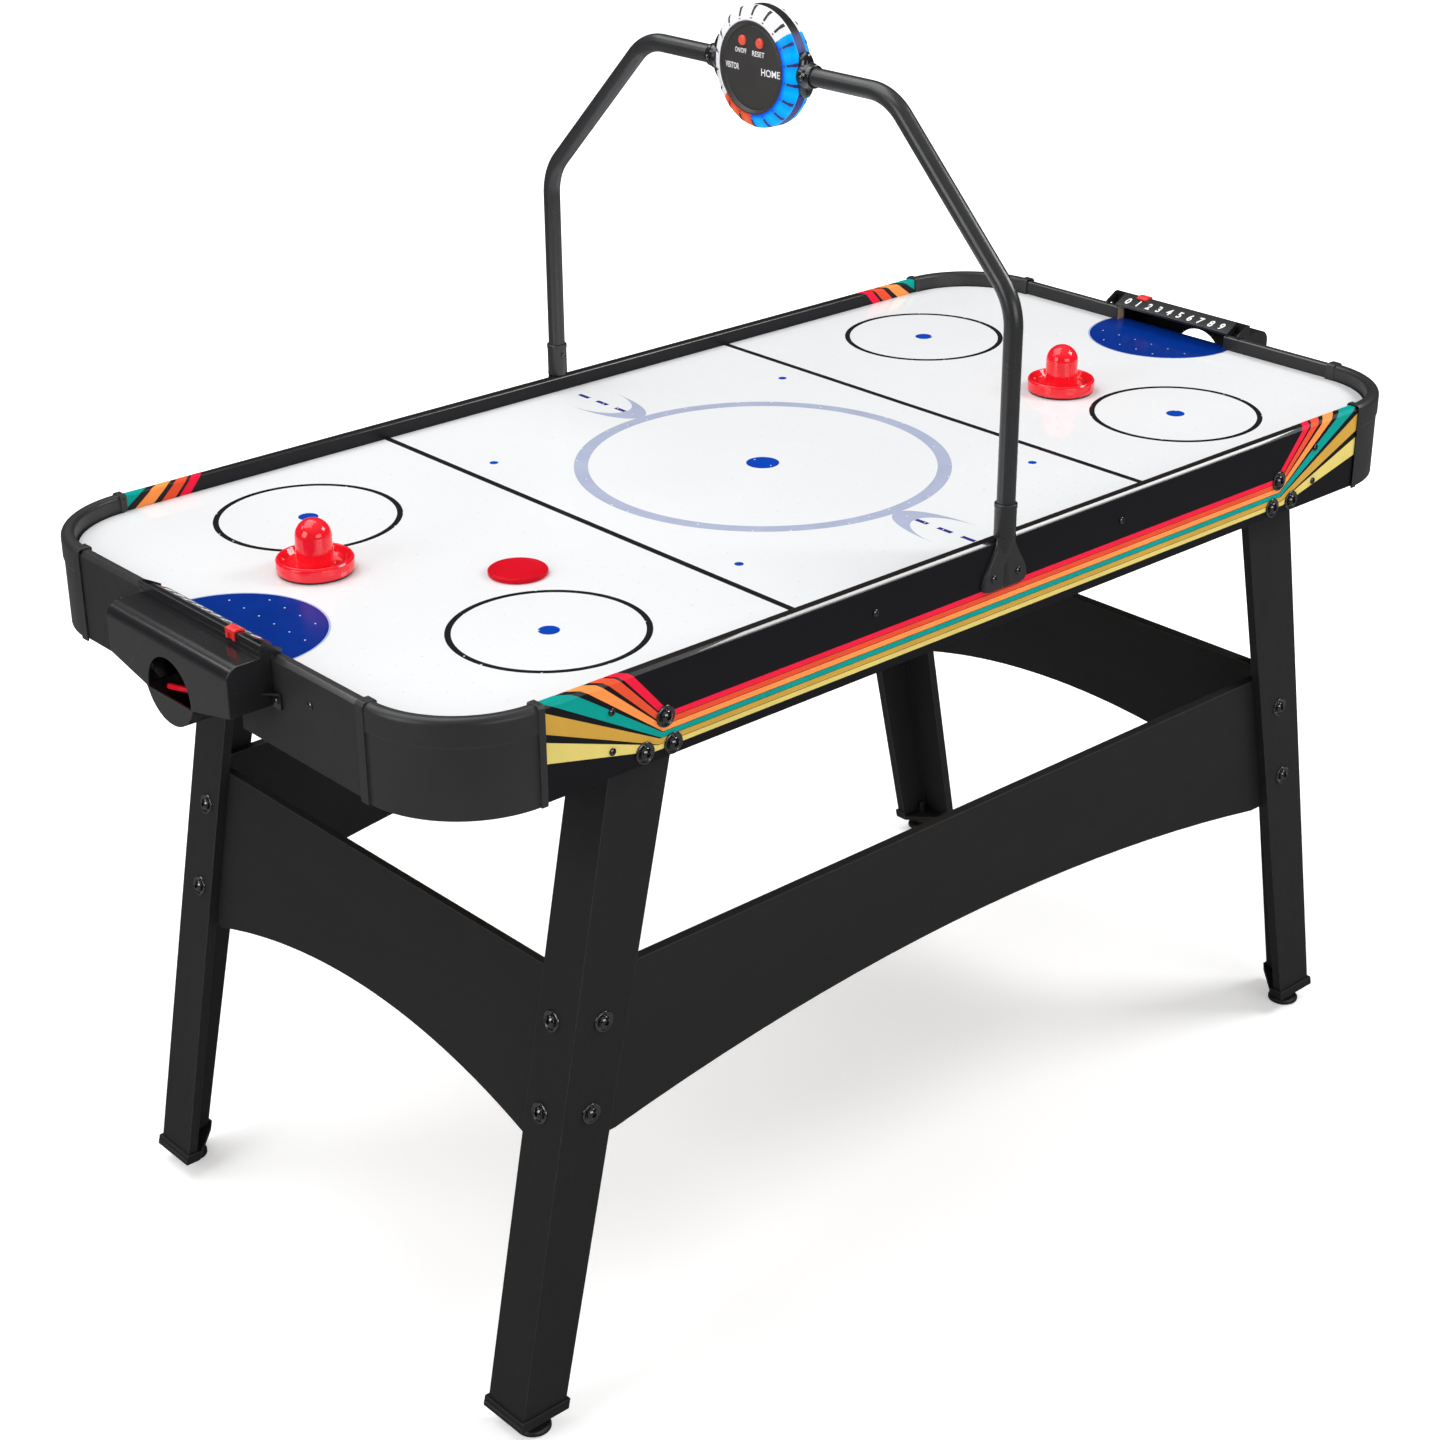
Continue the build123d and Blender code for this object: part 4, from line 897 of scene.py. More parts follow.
def wrap(shape, polygon, side, material):
    """Folds a polygon of (x, distance up the unrolled board) over the board's faces."""
    end = 0.0
    for length, origin, along, normal in board_faces(side):
        start = end
        end = start + length
        points = clip(clip(polygon, lambda p: p[1] - start), lambda p: end - p[1])
        points = [p for i, p in enumerate(points)
                  if hypot(p[0] - points[i - 1][0], p[1] - points[i - 1][1]) > 1e-4]
        if len(points) < 3:
            continue
        origin, along, normal = Vector(origin), Vector(along), Vector(normal)
        flat = [origin + along * (v - start) + Vector((x, 0, 0)) for x, v in points]
        verts = [(p + normal * STRIPE_LIFT) * MM for p in flat]
        verts += [(p - normal * STRIPE_SINK) * MM for p in flat]
        shape.add(verts, prism_faces(len(points)), material)


def board_stripes(side, name):
    shape = Shape()
    for index, (_, _, upper, lower) in enumerate(STRIPES):
        top, top_bend, top_run = upper
        bottom, bottom_bend, bottom_run = lower
        top -= APRON_BOTTOM
        bottom -= APRON_BOTTOM
        wrap(shape, [(-top_bend, top), (top_bend, top), (bottom_bend, bottom),
                     (-bottom_bend, bottom)], side, index)
        for end in (-1, 1):
            sloping = [
                (end * top_bend, top),
                (end * (top_bend + top_run * STRIPE_RUN), top + STRIPE_RUN),
                (end * (bottom_bend + bottom_run * STRIPE_RUN), bottom + STRIPE_RUN),
                (end * bottom_bend, bottom),
            ]
            wrap(shape, clip(sloping, lambda p: STRIPE_END - abs(p[0])), side, index)
    shape.make("stripes_" + name, ["stripe_" + stripe[0] for stripe in STRIPES],
               "laminate_navy", 30)


for side, name in LONG_SIDES:
    board_stripes(side, name)


# ------------------------------------------------------------------ bolts, washers and screws
def domed_head(shape, origin, axis, radius, rings, height, recessed, depth, skirt):
    """Head on a polar grid, in mm, with a recess, then rings of (radius, height) below."""
    x, y, z = basis(axis)
    segments = 48
    angles = [2 * pi * k / segments for k in range(segments)]
    floor_height = height(0.0) - depth
    verts = [origin + z * (floor_height * MM)]
    for i in range(1, rings + 1):
        r = radius * i / rings
        for a in angles:
            u, v = r * cos(a), r * sin(a)
            h = floor_height if recessed(u, v) else height(r)
            verts.append(origin + x * (u * MM) + y * (v * MM) + z * (h * MM))
    for r, h in skirt:
        for a in angles:
            verts.append(origin + (x * cos(a) + y * sin(a)) * (r * MM) + z * (h * MM))
    tip = len(verts)
    verts.append(origin + z * (skirt[-1][1] * MM))
    faces = [[0, 1 + k, 1 + (k + 1) % segments] for k in range(segments)]
    for i in range(rings - 1 + len(skirt)):
        for k in range(segments):
            a = 1 + i * segments + k
            b = 1 + i * segments + (k + 1) % segments
            faces.append([a, a + segments, b + segments, b])
    last = tip - segments
    faces += [[tip, last + (k + 1) % segments, last + k] for k in range(segments)]
    shape.add(verts, faces)


# radius, height, corner radius
WASHER_PROFILE = [
    (3.2, 0.02), (11.3, 0.02, 0.3), (11.7, 0.6, 0.35), (11.2, 1.7, 0.6), (10.2, 2.15, 0.7),
    (8.6, 1.5, 1.2), (7.2, 1.1, 0.5), (3.2, 1.1),
]
# radius, height, from under the bolt's dome down to the shank's tip
BOLT_SKIRT = [(6.55, 2.9), (6.5, 1.9), (6.1, 1.15), (3.0, 1.15), (3.0, -36.5), (2.5, -37.0)]
BOLT_DOME = 6.4
HEXAGON = 2.5
LEG_LEAN = 0.1936  # rise of the end bolts' axis per unit along X


def leg_bolts():
    """A cupped washer and a button head bolt at each CAD washer."""
    washers, bolts = Shape(), Shape()

    def in_hexagon(u, v):
        return max(abs(u * cos(a) + v * sin(a)) for a in (0, pi / 3, 2 * pi / 3)) < HEXAGON

    for points in islands("leg_washers"):
        centre = sum(points, Vector()) / len(points)
        depth_y = max(p.y for p in points) - min(p.y for p in points)
        if depth_y < 0.004:
            axis = Vector((0, 1 if centre.y > 0 else -1, 0))
        else:
            axis = Vector((1 if centre.x > 0 else -1, 0, LEG_LEAN)).normalized()
        base = min(p.dot(axis) for p in points)
        origin = centre + axis * (base - centre.dot(axis))
        lathe(washers, closed(fillet(WASHER_PROFILE, 4)), origin, axis, 48)
        domed_head(bolts, origin, axis, BOLT_DOME, rings=22,
                   height=lambda r: 5.95 - 2.5 * (r / BOLT_DOME) ** 2.3,
                   recessed=in_hexagon, depth=2.6, skirt=BOLT_SKIRT)
    washers.replace("leg_washers", "washer_black", "fastener_dark", 40)
    bolts.replace("leg_bolts", "bolt_black", "fastener_dark", 34)


SCREW_HEAD = 2.6
CROSS_HALF_WIDTH, CROSS_REACH = 0.46, 0.46  # mm, and a share of the head's radius


def small_screws():
    """Cross recessed screws along the longest side of each CAD screw."""
    shape = Shape()
    for points in islands("small_screws"):
        low = [min(p[i] for p in points) for i in range(3)]
        high = [max(p[i] for p in points) for i in range(3)]
        sizes = [b - a for a, b in zip(low, high)]
        along = sizes.index(max(sizes))
        origin = Vector([(b + a) / 2 for a, b in zip(low, high)])
        middle = (low[along] + high[along]) / 2
        centre = list((b + a) / 2 for a, b in zip(low, high))

        def reach(p):
            return sqrt(sum((p[i] - centre[i]) ** 2 for i in range(3) if i != along))

        # the head is at the wide end
        upper = max(reach(p) for p in points if p[along] > middle)
        lower = max(reach(p) for p in points if p[along] < middle)
        axis = Vector()
        axis[along] = 1 if upper > lower else -1
        radius = max(upper, lower) / MM
        origin[along] = high[along] if upper > lower else low[along]
        origin = origin - axis * (SCREW_HEAD * MM)
        length = (high[along] - low[along]) / MM - SCREW_HEAD

        def in_cross(u, v):
            u, v, arm = abs(u), abs(v), radius * CROSS_REACH
            return (u < CROSS_HALF_WIDTH and v < arm) or (v < CROSS_HALF_WIDTH and u < arm)

        domed_head(shape, origin, axis, radius * 0.98, rings=18,
                   height=lambda r: SCREW_HEAD - 1.5 * (r / radius) ** 2.4,
                   recessed=in_cross, depth=1.1,
                   skirt=[(radius, 0.9), (radius, 0.05), (1.75, 0.05),
                          (1.7, -length * 0.9), (0.4, -length)])
    shape.replace("small_screws", "screw_black", "fastener_dark", 34)


leg_bolts()
small_screws()

# ------------------------------------------------------------------ goal boxes and score digits
BOX_SIDE_Y = 0.110


def wide_box_edge(edge):
    """Edges in the goal box's side planes, beyond the board and below its top."""
    in_side = all(abs(abs(v.co.y) - BOX_SIDE_Y) < 2e-5 and abs(v.co.x) > 0.7395
                  and v.co.z < 0.8428 for v in edge.verts)
    return in_side and max(v.co.z for v in edge.verts) > 0.7925


for end in ENDS:
    refine("goal_box_" + end, ["goal_box_black", "goal_box_black_edge"], 0.4,
           angle=38, sharp=30, is_wide=wide_box_edge, wide_width=3.2)
    refine("score_slider_" + end, ["red_clip"], 0.3, angle=25, min_length=1.0)


def add_text(shape, text, origin, right, up, size, shear, bold, depth, fit=None, bend=None):
    """Adds thick text centred at origin; lengths in metres.

    fit is its width and height, bend moves each point given its depth in the text.
    """
    curve = bpy.data.curves.new("text", "FONT")
    curve.body = text
    curve.size = size
    curve.shear = shear
    curve.offset = bold
    curve.align_x, curve.align_y = "CENTER", "CENTER"
    curve.extrude = depth
    curve.resolution_u = 4
    holder = bpy.data.objects.new("text", curve)
    COLLECTION.objects.link(holder)
    bpy.context.view_layer.update()
    evaluated = holder.evaluated_get(bpy.context.evaluated_depsgraph_get())
    mesh = bpy.data.meshes.new_from_object(evaluated)
    bpy.data.objects.remove(holder)
    bpy.data.curves.remove(curve)

    normal = right.cross(up)
    xs = [v.co.x for v in mesh.vertices]
    ys = [v.co.y for v in mesh.vertices]
    middle_x, middle_y = (min(xs) + max(xs)) / 2, (min(ys) + max(ys)) / 2
    scale_x, scale_y = 1.0, 1.0
    if fit:
        scale_x, scale_y = fit[0] / (max(xs) - min(xs)), fit[1] / (max(ys) - min(ys))
    verts = []
    for v in mesh.vertices:
        point = (Vector(origin) + right * ((v.co.x - middle_x) * scale_x)
                 + up * ((v.co.y - middle_y) * scale_y) + normal * v.co.z)
        verts.append(bend(point, v.co.z) if bend else point)
    shape.add(verts, [list(p.vertices) for p in mesh.polygons])
    bpy.data.meshes.remove(mesh)


def score_digits(side, name):
    """Digits 0 to 9 in a row along the sloping top of a goal box."""
    pitch = 17.3
    up = Vector((side * 18.0, 0, 10.0)).normalized()
    right = Vector((0, -side, 0))
    lift = right.cross(up) * 0.00006
    shape = Shape()
    for digit in range(10):
        origin = Vector((side * 731.4, side * (4.5 - digit) * pitch, 850.34)) * MM + lift
        add_text(shape, str(digit), origin, right, up, size=14.6 * MM, shear=0.20,
                 bold=0.00042, depth=0.00010)
    shape.make("score_digits_" + name, ["white_print"], "moulding_black", 30)


score_digits(1, "right")
score_digits(-1, "left")

# ------------------------------------------------------------------ gantry brackets
BRACKET_LOW, BRACKET_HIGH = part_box("gantry_bracket_front")
LEAF_FOOT, SOCKET_TOP = BRACKET_LOW.z / MM, BRACKET_HIGH.z / MM
COLLAR_RADIUS = 12.2
SOCKET_Y = -(BRACKET_LOW.y / MM) - COLLAR_RADIUS
LEAF_COLUMNS = 57
LEAF_TOP = 846.0
# heights over the leaf's foot
LEAF_STATIONS = [0.0, 0.25, 0.6, 1.1, 1.6, 2.2, 3.0, 4.0, 5.2, 6.6, 8.0]
# height over the foot, half width
LEAF_OUTLINE = [
    (8.6, 34.0), (15.0, 33.4), (22.0, 30.6), (30.0, 25.8), (38.0, 20.8), (46.0, 16.4),
    (54.0, 13.4), (61.5, 11.9),
]


def leaf_half_width(rise):
    base_rise, base_width, corner = 1.6, 27.0, 7.0
    if rise < base_rise:
        return base_width * sqrt(max(0.0, 1 - (1 - rise / base_rise) ** 2))
    shoulder = LEAF_OUTLINE[0][0]
    if rise < shoulder:
        bulge = sqrt(max(0.0, corner ** 2 - (shoulder - rise) ** 2))
        if rise < 3.0:
            bulge = bulge * (rise - base_rise) / corner
        return base_width + bulge
    for (low, low_width), (high, high_width) in zip(LEAF_OUTLINE, LEAF_OUTLINE[1:]):
        if rise <= high:
            return low_width + (high_width - low_width) * (rise - low) / (high - low)
    return LEAF_OUTLINE[-1][1]


def leaf_depth(x, z, u, half_width):
    """How far the leaf stands out from the board."""
    rise = z - LEAF_FOOT
    from_edge = min((1 - abs(u)) * half_width, rise * 1.2)
    edge = max(0.0, 1 - from_edge / 3.0)
    depth = 3.95 * sqrt(max(0.0, 1 - edge * edge))
    groove_rise = 34
    if rise < groove_rise:
        # a groove up the middle that narrows and fades out
        groove = 1.6 + 4.6 * (1 - rise / 34.0)
        fade = min(1.0, (groove_rise - rise) / 10.0)
        depth -= 2.3 * max(0.0, 1 - abs(x) / groove) * fade * (1 - edge)
    swell = 0.0
    if z > 818:
        # the leaf swells into the round socket
        share = (z - 818.0) / 28.0
        swell = 12.1 * (1 - (1 - min(share, 1.0)) ** 1.7)
    socket = -5.0
    if abs(x) < swell:
        socket = SOCKET_Y + sqrt(max(0.0, swell * swell - x * x)) - APRON_OUTER
    gap, blend = abs(depth - socket), 1.6
    total = max(depth, socket)
    if gap < blend:
        total += (blend - gap) ** 2 / (4 * blend)
    return total


def gantry_brackets():
    """Leaf against each long board, under the round socket of a gantry tube."""
    heights = [LEAF_FOOT + rise for rise in LEAF_STATIONS]
    heights += [LEAF_FOOT + 9.5 + i * 1.4 for i in range(38)]
    outer, inner = [], []
    for z in heights:
        if z > LEAF_TOP:
            continue
        half_width = max(leaf_half_width(z - LEAF_FOOT), 0.4)
        for k in range(LEAF_COLUMNS):
            u = crowd(-1 + 2 * k / (LEAF_COLUMNS - 1), 1.35)
            x = u * half_width
            y = APRON_OUTER + leaf_depth(x, z, u, half_width)
            outer.append((x, min(y, SOCKET_Y + 12.15), z))
            inner.append((x, APRON_OUTER + 0.04, z))
    top = SOCKET_TOP
    # radius, height, corner radius
    socket = fillet([
        (10.25, 842.6), (11.75, 842.6, 0.3), (11.75, top - 5.4, 0.4),
        (COLLAR_RADIUS, top - 4.8, 0.4), (COLLAR_RADIUS, top - 0.5, 0.5), (11.4, top, 0.4),
        (10.3, top, 0.2), (10.1, top - 0.6), (10.1, 846.6),
    ], 4)
    for side, name in LONG_SIDES:
        shape = Shape()
        lathe(shape, closed(socket), (0, side * SOCKET_Y * MM, 0), (0, 0, 1), 56)
        closed_grid(shape, outer, inner, LEAF_COLUMNS, side)
        shape.replace("gantry_bracket_" + name, "bracket_charcoal", "bracket_charcoal", 38)


gantry_brackets()

# ------------------------------------------------------------------ scorer clamps
BAND_LOW, BAND_HIGH, SCORER = extent("scorer_band")
BAND_RADIUS = (BAND_HIGH.z - BAND_LOW.z) / 2 / MM


def scorer_clamps():
    """Round sleeve at each end of the tubes, with a lobed saddle over the scorer's band."""
    seat = (BAND_HIGH.z - SCORER.z) / MM + 0.12
    half_angle, rows, columns = 21.0, 37, 23
    outer, inner = [], []
    for i in range(rows):
        q = crowd(-1 + 2 * i / (rows - 1), 1.5)
        a = radians(q * half_angle)
        half_width = max(9.6 * (1 - abs(q) ** 2.6) ** 0.5, 0.25)
        for j in range(columns):
            u = crowd(-1 + 2 * j / (columns - 1), 1.5)
            from_edge = min((1 - abs(u)) * half_width, (1 - abs(q)) * half_angle * 1.13)
            edge = max(0.0, 1 - from_edge / 5.2)
            thickness = 9.4 * sqrt(max(0.0, 1 - edge * edge)) + 0.02
            for points, radius in ((outer, seat + thickness), (inner, seat)):
                points.append((u * half_width, radius * cos(a), SCORER.z / MM + radius * sin(a)))
    for side, name in LONG_SIDES:
        low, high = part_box("scorer_clamp_" + name)
        far = max(abs(low.y), abs(high.y)) / MM
        # radius, distance from the scorer's middle, corner radius
        sleeve = fillet([
            (0, seat - 0.6), (13.2, seat - 0.6), (14.1, seat + 2.6, 1.5),
            (14.1, seat + 8.0, 2.5), (12.6, seat + 11.6, 1.5), (12.4, far - 0.4, 0.6),
            (11.4, far, 0.4), (10.2, far, 0.2), (10.2, seat + 4.0), (0, seat + 4.0),
        ], 5)
        shape = Shape()
        lathe(shape, sleeve, (0, 0, SCORER.z), (0, side, 0), 56)
        closed_grid(shape, outer, inner, columns, side)
        shape.replace("scorer_clamp_" + name, "clamp_black", "bracket_charcoal", 38)


scorer_clamps()


# ------------------------------------------------------------------ gantry tubes
def bend_path(points, radius, steps=14):
    """Rounds the corners of a path of vectors."""
    out = [points[0]]
    for before, corner, after in zip(points, points[1:], points[2:]):
        u, v = (before - corner).normalized(), (after - corner).normalized()
        angle = u.angle(v)
        trim = radius / tan(angle / 2)
        centre = corner + (u + v).normalized() * (radius / sin(angle / 2))
        start, end = corner + u * trim - centre, corner + v * trim - centre
        first = start.normalized()
        second = (end - first * end.dot(first)).normalized()
        turn = start.angle(end)
        for k in range(steps + 1):
            a = turn * k / steps
            out.append(centre + (first * cos(a) + second * sin(a)) * radius)
    out.append(points[-1])
    return out


def sweep(shape, path, outer, inner, segments=48):
    """Tube with open ends' walls closed, along a path that lies across X."""
    across = Vector((1, 0, 0))
    count = len(path)
    frames = []
    for i, point in enumerate(path):
        tangent = (path[min(i + 1, count - 1)] - path[max(i - 1, 0)]).normalized()
        first = (across - tangent * across.dot(tangent)).normalized()
        frames.append((point, first, tangent.cross(first)))
    verts, faces = [], []
    for radius in (outer, inner):
        for point, first, second in frames:
            for k in range(segments):
                a = 2 * pi * k / segments
                verts.append(point + (first * cos(a) + second * sin(a)) * radius)
    skin = count * segments
    for start in (0, skin):
        for i in range(count - 1):
            for k in range(segments):
                a = start + i * segments + k
                b = start + i * segments + (k + 1) % segments
                faces.append([a, b, b + segments, a + segments])
    for i in (0, count - 1):
        for k in range(segments):
            a, b = i * segments + k, i * segments + (k + 1) % segments
            faces.append([a, b, skin + b, skin + a])
    shape.add(verts, faces)


def gantry_tube(side, name):
    """Upright from the bracket, leaning in and then level to the clamp; in metres."""
    low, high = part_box("gantry_tube_" + name)
    radius = (high.x - low.x) / 2
    far = max(abs(low.y), abs(high.y)) - radius
    near = min(abs(low.y), abs(high.y))
    top = high.z - radius
    path = [Vector((0, side * y, z))
            for y, z in ((far, low.z), (far, 1.094), (0.192, top), (near, top))]
    shape = Shape()
    sweep(shape, bend_path(path, radius=0.066), radius, radius * 0.86)
    shape.replace("gantry_tube_" + name, "tube_charcoal", "tube_charcoal", 50)


for side, name in LONG_SIDES:
    gantry_tube(side, name)


# ------------------------------------------------------------------ scorer materials
def scorer_angle(g):
    """Degrees about the scorer's middle, 0 at the top and rising towards -Y; with offsets."""
    _, y, z = g.split(g.place)
    across = g.math("MULTIPLY", y, -1.0)
    above = g.math("SUBTRACT", z, SCORER.z)
    angle = g.math("MULTIPLY", g.math("ARCTAN2", across, above), 180.0 / pi)
    angle = g.math("MODULO", g.math("ADD", angle, 360.0), 360.0)
    return angle, across, above


def blue_part(g, angle):
    return g.between(angle, 50.0, 180.0)


def light_ring():
    """Frosted ring, lit blue over one part and orange over the next."""
    g = Material("scorer_light_ring")
    angle, across, above = scorer_angle(g)
    radius = g.length(across, above)
    blue = blue_part(g, angle)
    orange = g.between(angle, 180.0, 230.0)
    # brightness swells in the middle of each 20 degree cell
    from_middle = g.math("SUBTRACT", g.math("MODULO", angle, 20.0), 10.0)
    swell = g.remap(g.math("ABSOLUTE", from_middle), 0.0, 10.0, 1.0, 0.0)
    outward = g.remap(radius, 0.0500, 0.0548, 0.0, 1.0)
    clouds = g.noise(160.0, detail=3.0, rough=0.6)
    frosted = g.mix(g.spread(clouds), (0.76, 0.755, 0.80), (0.84, 0.835, 0.87))
    soft_swell = g.math("ADD", g.math("MULTIPLY", swell, 0.45), 0.55)
    blue_glow = g.mix(g.math("MULTIPLY", soft_swell, outward), (0.0, 0.070, 1.0),
                      (0.0, 0.50, 1.0))
    orange_glow = g.mix(g.math("MULTIPLY", swell, outward), (0.60, 0.045, 0.010),
                        (0.80, 0.135, 0.030))
    colour = g.mix(orange, g.mix(blue, frosted, (0.0, 0.01, 0.05)), (0.16, 0.02, 0.008))
    relief = g.noise(1500.0, detail=2.0, rough=0.6)
    g.shade({
        "Base Color": colour,
        "Emission Color": g.mix(orange, blue_glow, orange_glow),
        "Emission Strength": g.math("ADD", g.math("MULTIPLY", blue, 0.95),
                                    g.math("MULTIPLY", orange, 0.9)),
        "Roughness": g.spread(clouds, 0.30, 0.42),
        "Specular IOR Level": g.math("SUBTRACT", 0.45, g.math("MULTIPLY", blue, 0.38)),
        "Normal": g.bump(relief, strength=0.3, distance=0.00008),
    })


def dark_scorer(name, cloud_scale, dark, pale, glow, rough):
    """Dark plastic with a faint blue emission over the blue part, a painted spill of the ring's
    light; returns the graph and its clouds.
    """
    g = Material(name)
    clouds = g.noise(cloud_scale, detail=3.0, rough=0.6)
    g.shade({
        "Base Color": g.mix(g.spread(clouds), dark, pale),
        # painted light: this emission stands in for the ring's blue light falling on the dark
        # plastic
        "Emission Color": glow,
        "Emission Strength": blue_part(g, scorer_angle(g)[0]),
        "Roughness": g.spread(clouds, *rough),
    })
    return g, clouds


def band_black():
    # glow here is a painted spill of the ring's blue light on the band
    g, _ = dark_scorer("scorer_band_black", cloud_scale=40.0, dark=(0.010, 0.009, 0.009),
                       pale=(0.016, 0.015, 0.015), glow=(0.0, 0.0, 0.15), rough=(0.34, 0.46))
    relief = g.noise(1500.0, detail=2.0, rough=0.6)
    g.shade({"Specular IOR Level": 0.3,
             "Normal": g.bump(relief, strength=0.3, distance=0.0001)})


def slot_dark():
    # glow here is a painted spill of the ring's blue light on the bars
    g, clouds = dark_scorer("scorer_slot_dark", cloud_scale=200.0,
                            dark=(0.016, 0.014, 0.013), pale=(0.028, 0.025, 0.023),
                            glow=(0.0, 0.006, 0.14), rough=(0.5, 0.65))
    g.shade({"Normal": g.bump(clouds, strength=0.3, distance=0.0002)})


light_ring()
band_black()
slot_dark()

# ------------------------------------------------------------------ round scorer
R = BAND_RADIUS
# radius, distance from the middle plane, corner radius
RING_OUTER = fillet([
    (R - 0.05, 5.7), (R - 0.15, 8.4, 2.0), (R - 1.2, 11.0, 2.4), (R - 4.5, 13.8, 4.0),
    (R - 9.5, 16.6, 6.0), (R - 14.0, 18.4, 1.2), (R - 15.2, 18.2),
], 5)
RING_INNER = [
    (R - 15.2, 16.0), (R - 9.4, 14.2), (R - 5.4, 11.8), (R - 3.4, 8.8), (R - 3.2, 5.7),
]
BAND_PROFILE = [
    (R - 0.4, -5.6), (R - 0.05, -5.2), (R - 0.05, 5.2), (R - 0.4, 5.6), (R - 3.0, 5.6),
    (R - 3.0, 1.2), (R - 10.0, 1.2), (R - 10.0, -1.2), (R - 3.0, -1.2), (R - 3.0, -5.6),
]
BAR_PROFILE = [(R - 12.9, 17.96)] + [p for p in RING_OUTER if R - 13.0 <= p[0] <= R - 0.12]
BAR_HALF_WIDTH = 1.35
SCORER_CENTRE = (0, SCORER.y, SCORER.z)
SCORER_SIDES = ((-1, "front"), (1, "rear"))


def scorer_ring(side, name):
    shape = Shape()
    lathe(shape, closed(RING_OUTER + RING_INNER), SCORER_CENTRE, (side, 0, 0), 144)
    shape.replace("scorer_ring_" + name, "scorer_light_ring", "frosted_white", 40)


def scorer_slots(side, name):
    """Eighteen dark radial bars over the light ring."""
    shape = Shape()
    for k in range(18):
        a = radians(20.0 * k)
        radial = Vector((0, -sin(a), cos(a)))
        tangent = Vector((0, cos(a), sin(a)))
        verts, faces = [], []
        for r, h in BAR_PROFILE:
            half = BAR_HALF_WIDTH * MM * (1.45 if r > R - 2.2 else 1.0)
            for lift in (0.30, -1.2):
                for t in (-half, half):
                    verts.append(Vector(SCORER_CENTRE) + radial * ((r + lift * 0.45) * MM)
                                 + Vector((side, 0, 0)) * ((h + lift) * MM) + tangent * t)
        for i in range(len(BAR_PROFILE) - 1):
            a, b = i * 4, (i + 1) * 4
            faces += [[a, a + 1, b + 1, b], [a + 2, b + 2, b + 3, a + 3],
                      [a, b, b + 2, a + 2], [a + 1, a + 3, b + 3, b + 1]]
        last = (len(BAR_PROFILE) - 1) * 4
        faces += [[0, 2, 3, 1], [last, last + 1, last + 3, last + 2]]
        shape.add(verts, faces)
    shape.make("scorer_slots_" + name, ["scorer_slot_dark"], "scorer_black", 40)


def scorer_band():
    shape = Shape()
    lathe(shape, closed(BAND_PROFILE), SCORER_CENTRE, (1, 0, 0), 144)
    shape.replace("scorer_band", "scorer_band_black", "scorer_black", 35)


def dome_height(radius):
    return 18.0 - 1.9 * (radius / 42.0) ** 2


def scorer_face(side, name):
    """Domed plate inside the ring, with a groove and a raised rim."""
    rim = R - 15.3
    profile = [(r, dome_height(r)) for r in (0, 4, 8, 12, 16, 20, 24, 28, 32, 36, 40, 42.5)]
    profile += fillet([
        (43.6, dome_height(43.6)), (44.6, 15.1, 0.7), (46.2, 16.6, 1.0), (47.6, 18.6, 1.2),
        (49.3, 18.9, 0.8), (rim, 17.8, 0.4), (rim, 6.0), (rim - 2.2, 6.0), (rim - 2.2, 14.0),
        (36.0, 13.2), (0, 14.6),
    ], 4)
    shape = Shape()
    lathe(shape, profile, SCORER_CENTRE, (side, 0, 0), 128)
    shape.replace("scorer_face_" + name, "scorer_face", "scorer_black", 40)


# radius, distance from the middle plane, corner radius
BUTTON_PROFILE = [
    (0, 19.9), (2.8, 19.8, 1.8), (4.9, 19.35, 1.0), (5.5, 18.5, 0.5), (5.5, 14.9),
    (7.1, 14.9, 0.2), (7.1, 13.5, 0.2), (3.0, 13.5), (3.0, 6.9), (0, 6.9),
]


def push_button(node):
    """Button with a small collar."""
    middle = extent(node)[2]
    shape = Shape()
    lathe(shape, fillet(BUTTON_PROFILE, 4), (0, middle.y, middle.z), (-1, 0, 0), 40)
    shape.replace(node, "button_red", "red_gloss", 40, body=node)


# word, y and z from the scorer's middle, width, height
SCORER_WORDS = [
    ("ON/OFF", 16.6, 16.4, 18.6, 5.2), ("RESET", -11.2, 15.8, 18.8, 5.6),
    ("VISITOR", 30.6, -1.4, 23.0, 6.6), ("HOME", -29.8, -2.2, 27.5, 7.8),
]


def scorer_marks():
    """Words on the front plate, read from the -X side."""

    def on_dome(point, lift):
        radius = hypot(point.y - SCORER.y, point.z - SCORER.z) / MM
        x = -(dome_height(radius) * MM) - 0.00005 - max(0.0, lift)
        return Vector((x, point.y, point.z))

    shape = Shape()
    for word, y, z, width, height in SCORER_WORDS:
        add_text(shape, word, (0, SCORER.y + y * MM, SCORER.z + z * MM),
                 right=Vector((0, -1, 0)), up=Vector((0, 0, 1)), size=8.0 * MM, shear=0.0,
                 bold=0.00010, depth=0.00006, fit=(width * MM, height * MM), bend=on_dome)
    shape.make("scorer_marks", ["white_print"], "scorer_black", 30)


for side, name in SCORER_SIDES:
    scorer_ring(side, name)
    scorer_slots(side, name)
scorer_band()
for side, name in SCORER_SIDES:
    scorer_face(side, name)
for node in ("power_button", "reset_button"):
    push_button(node)
scorer_marks()


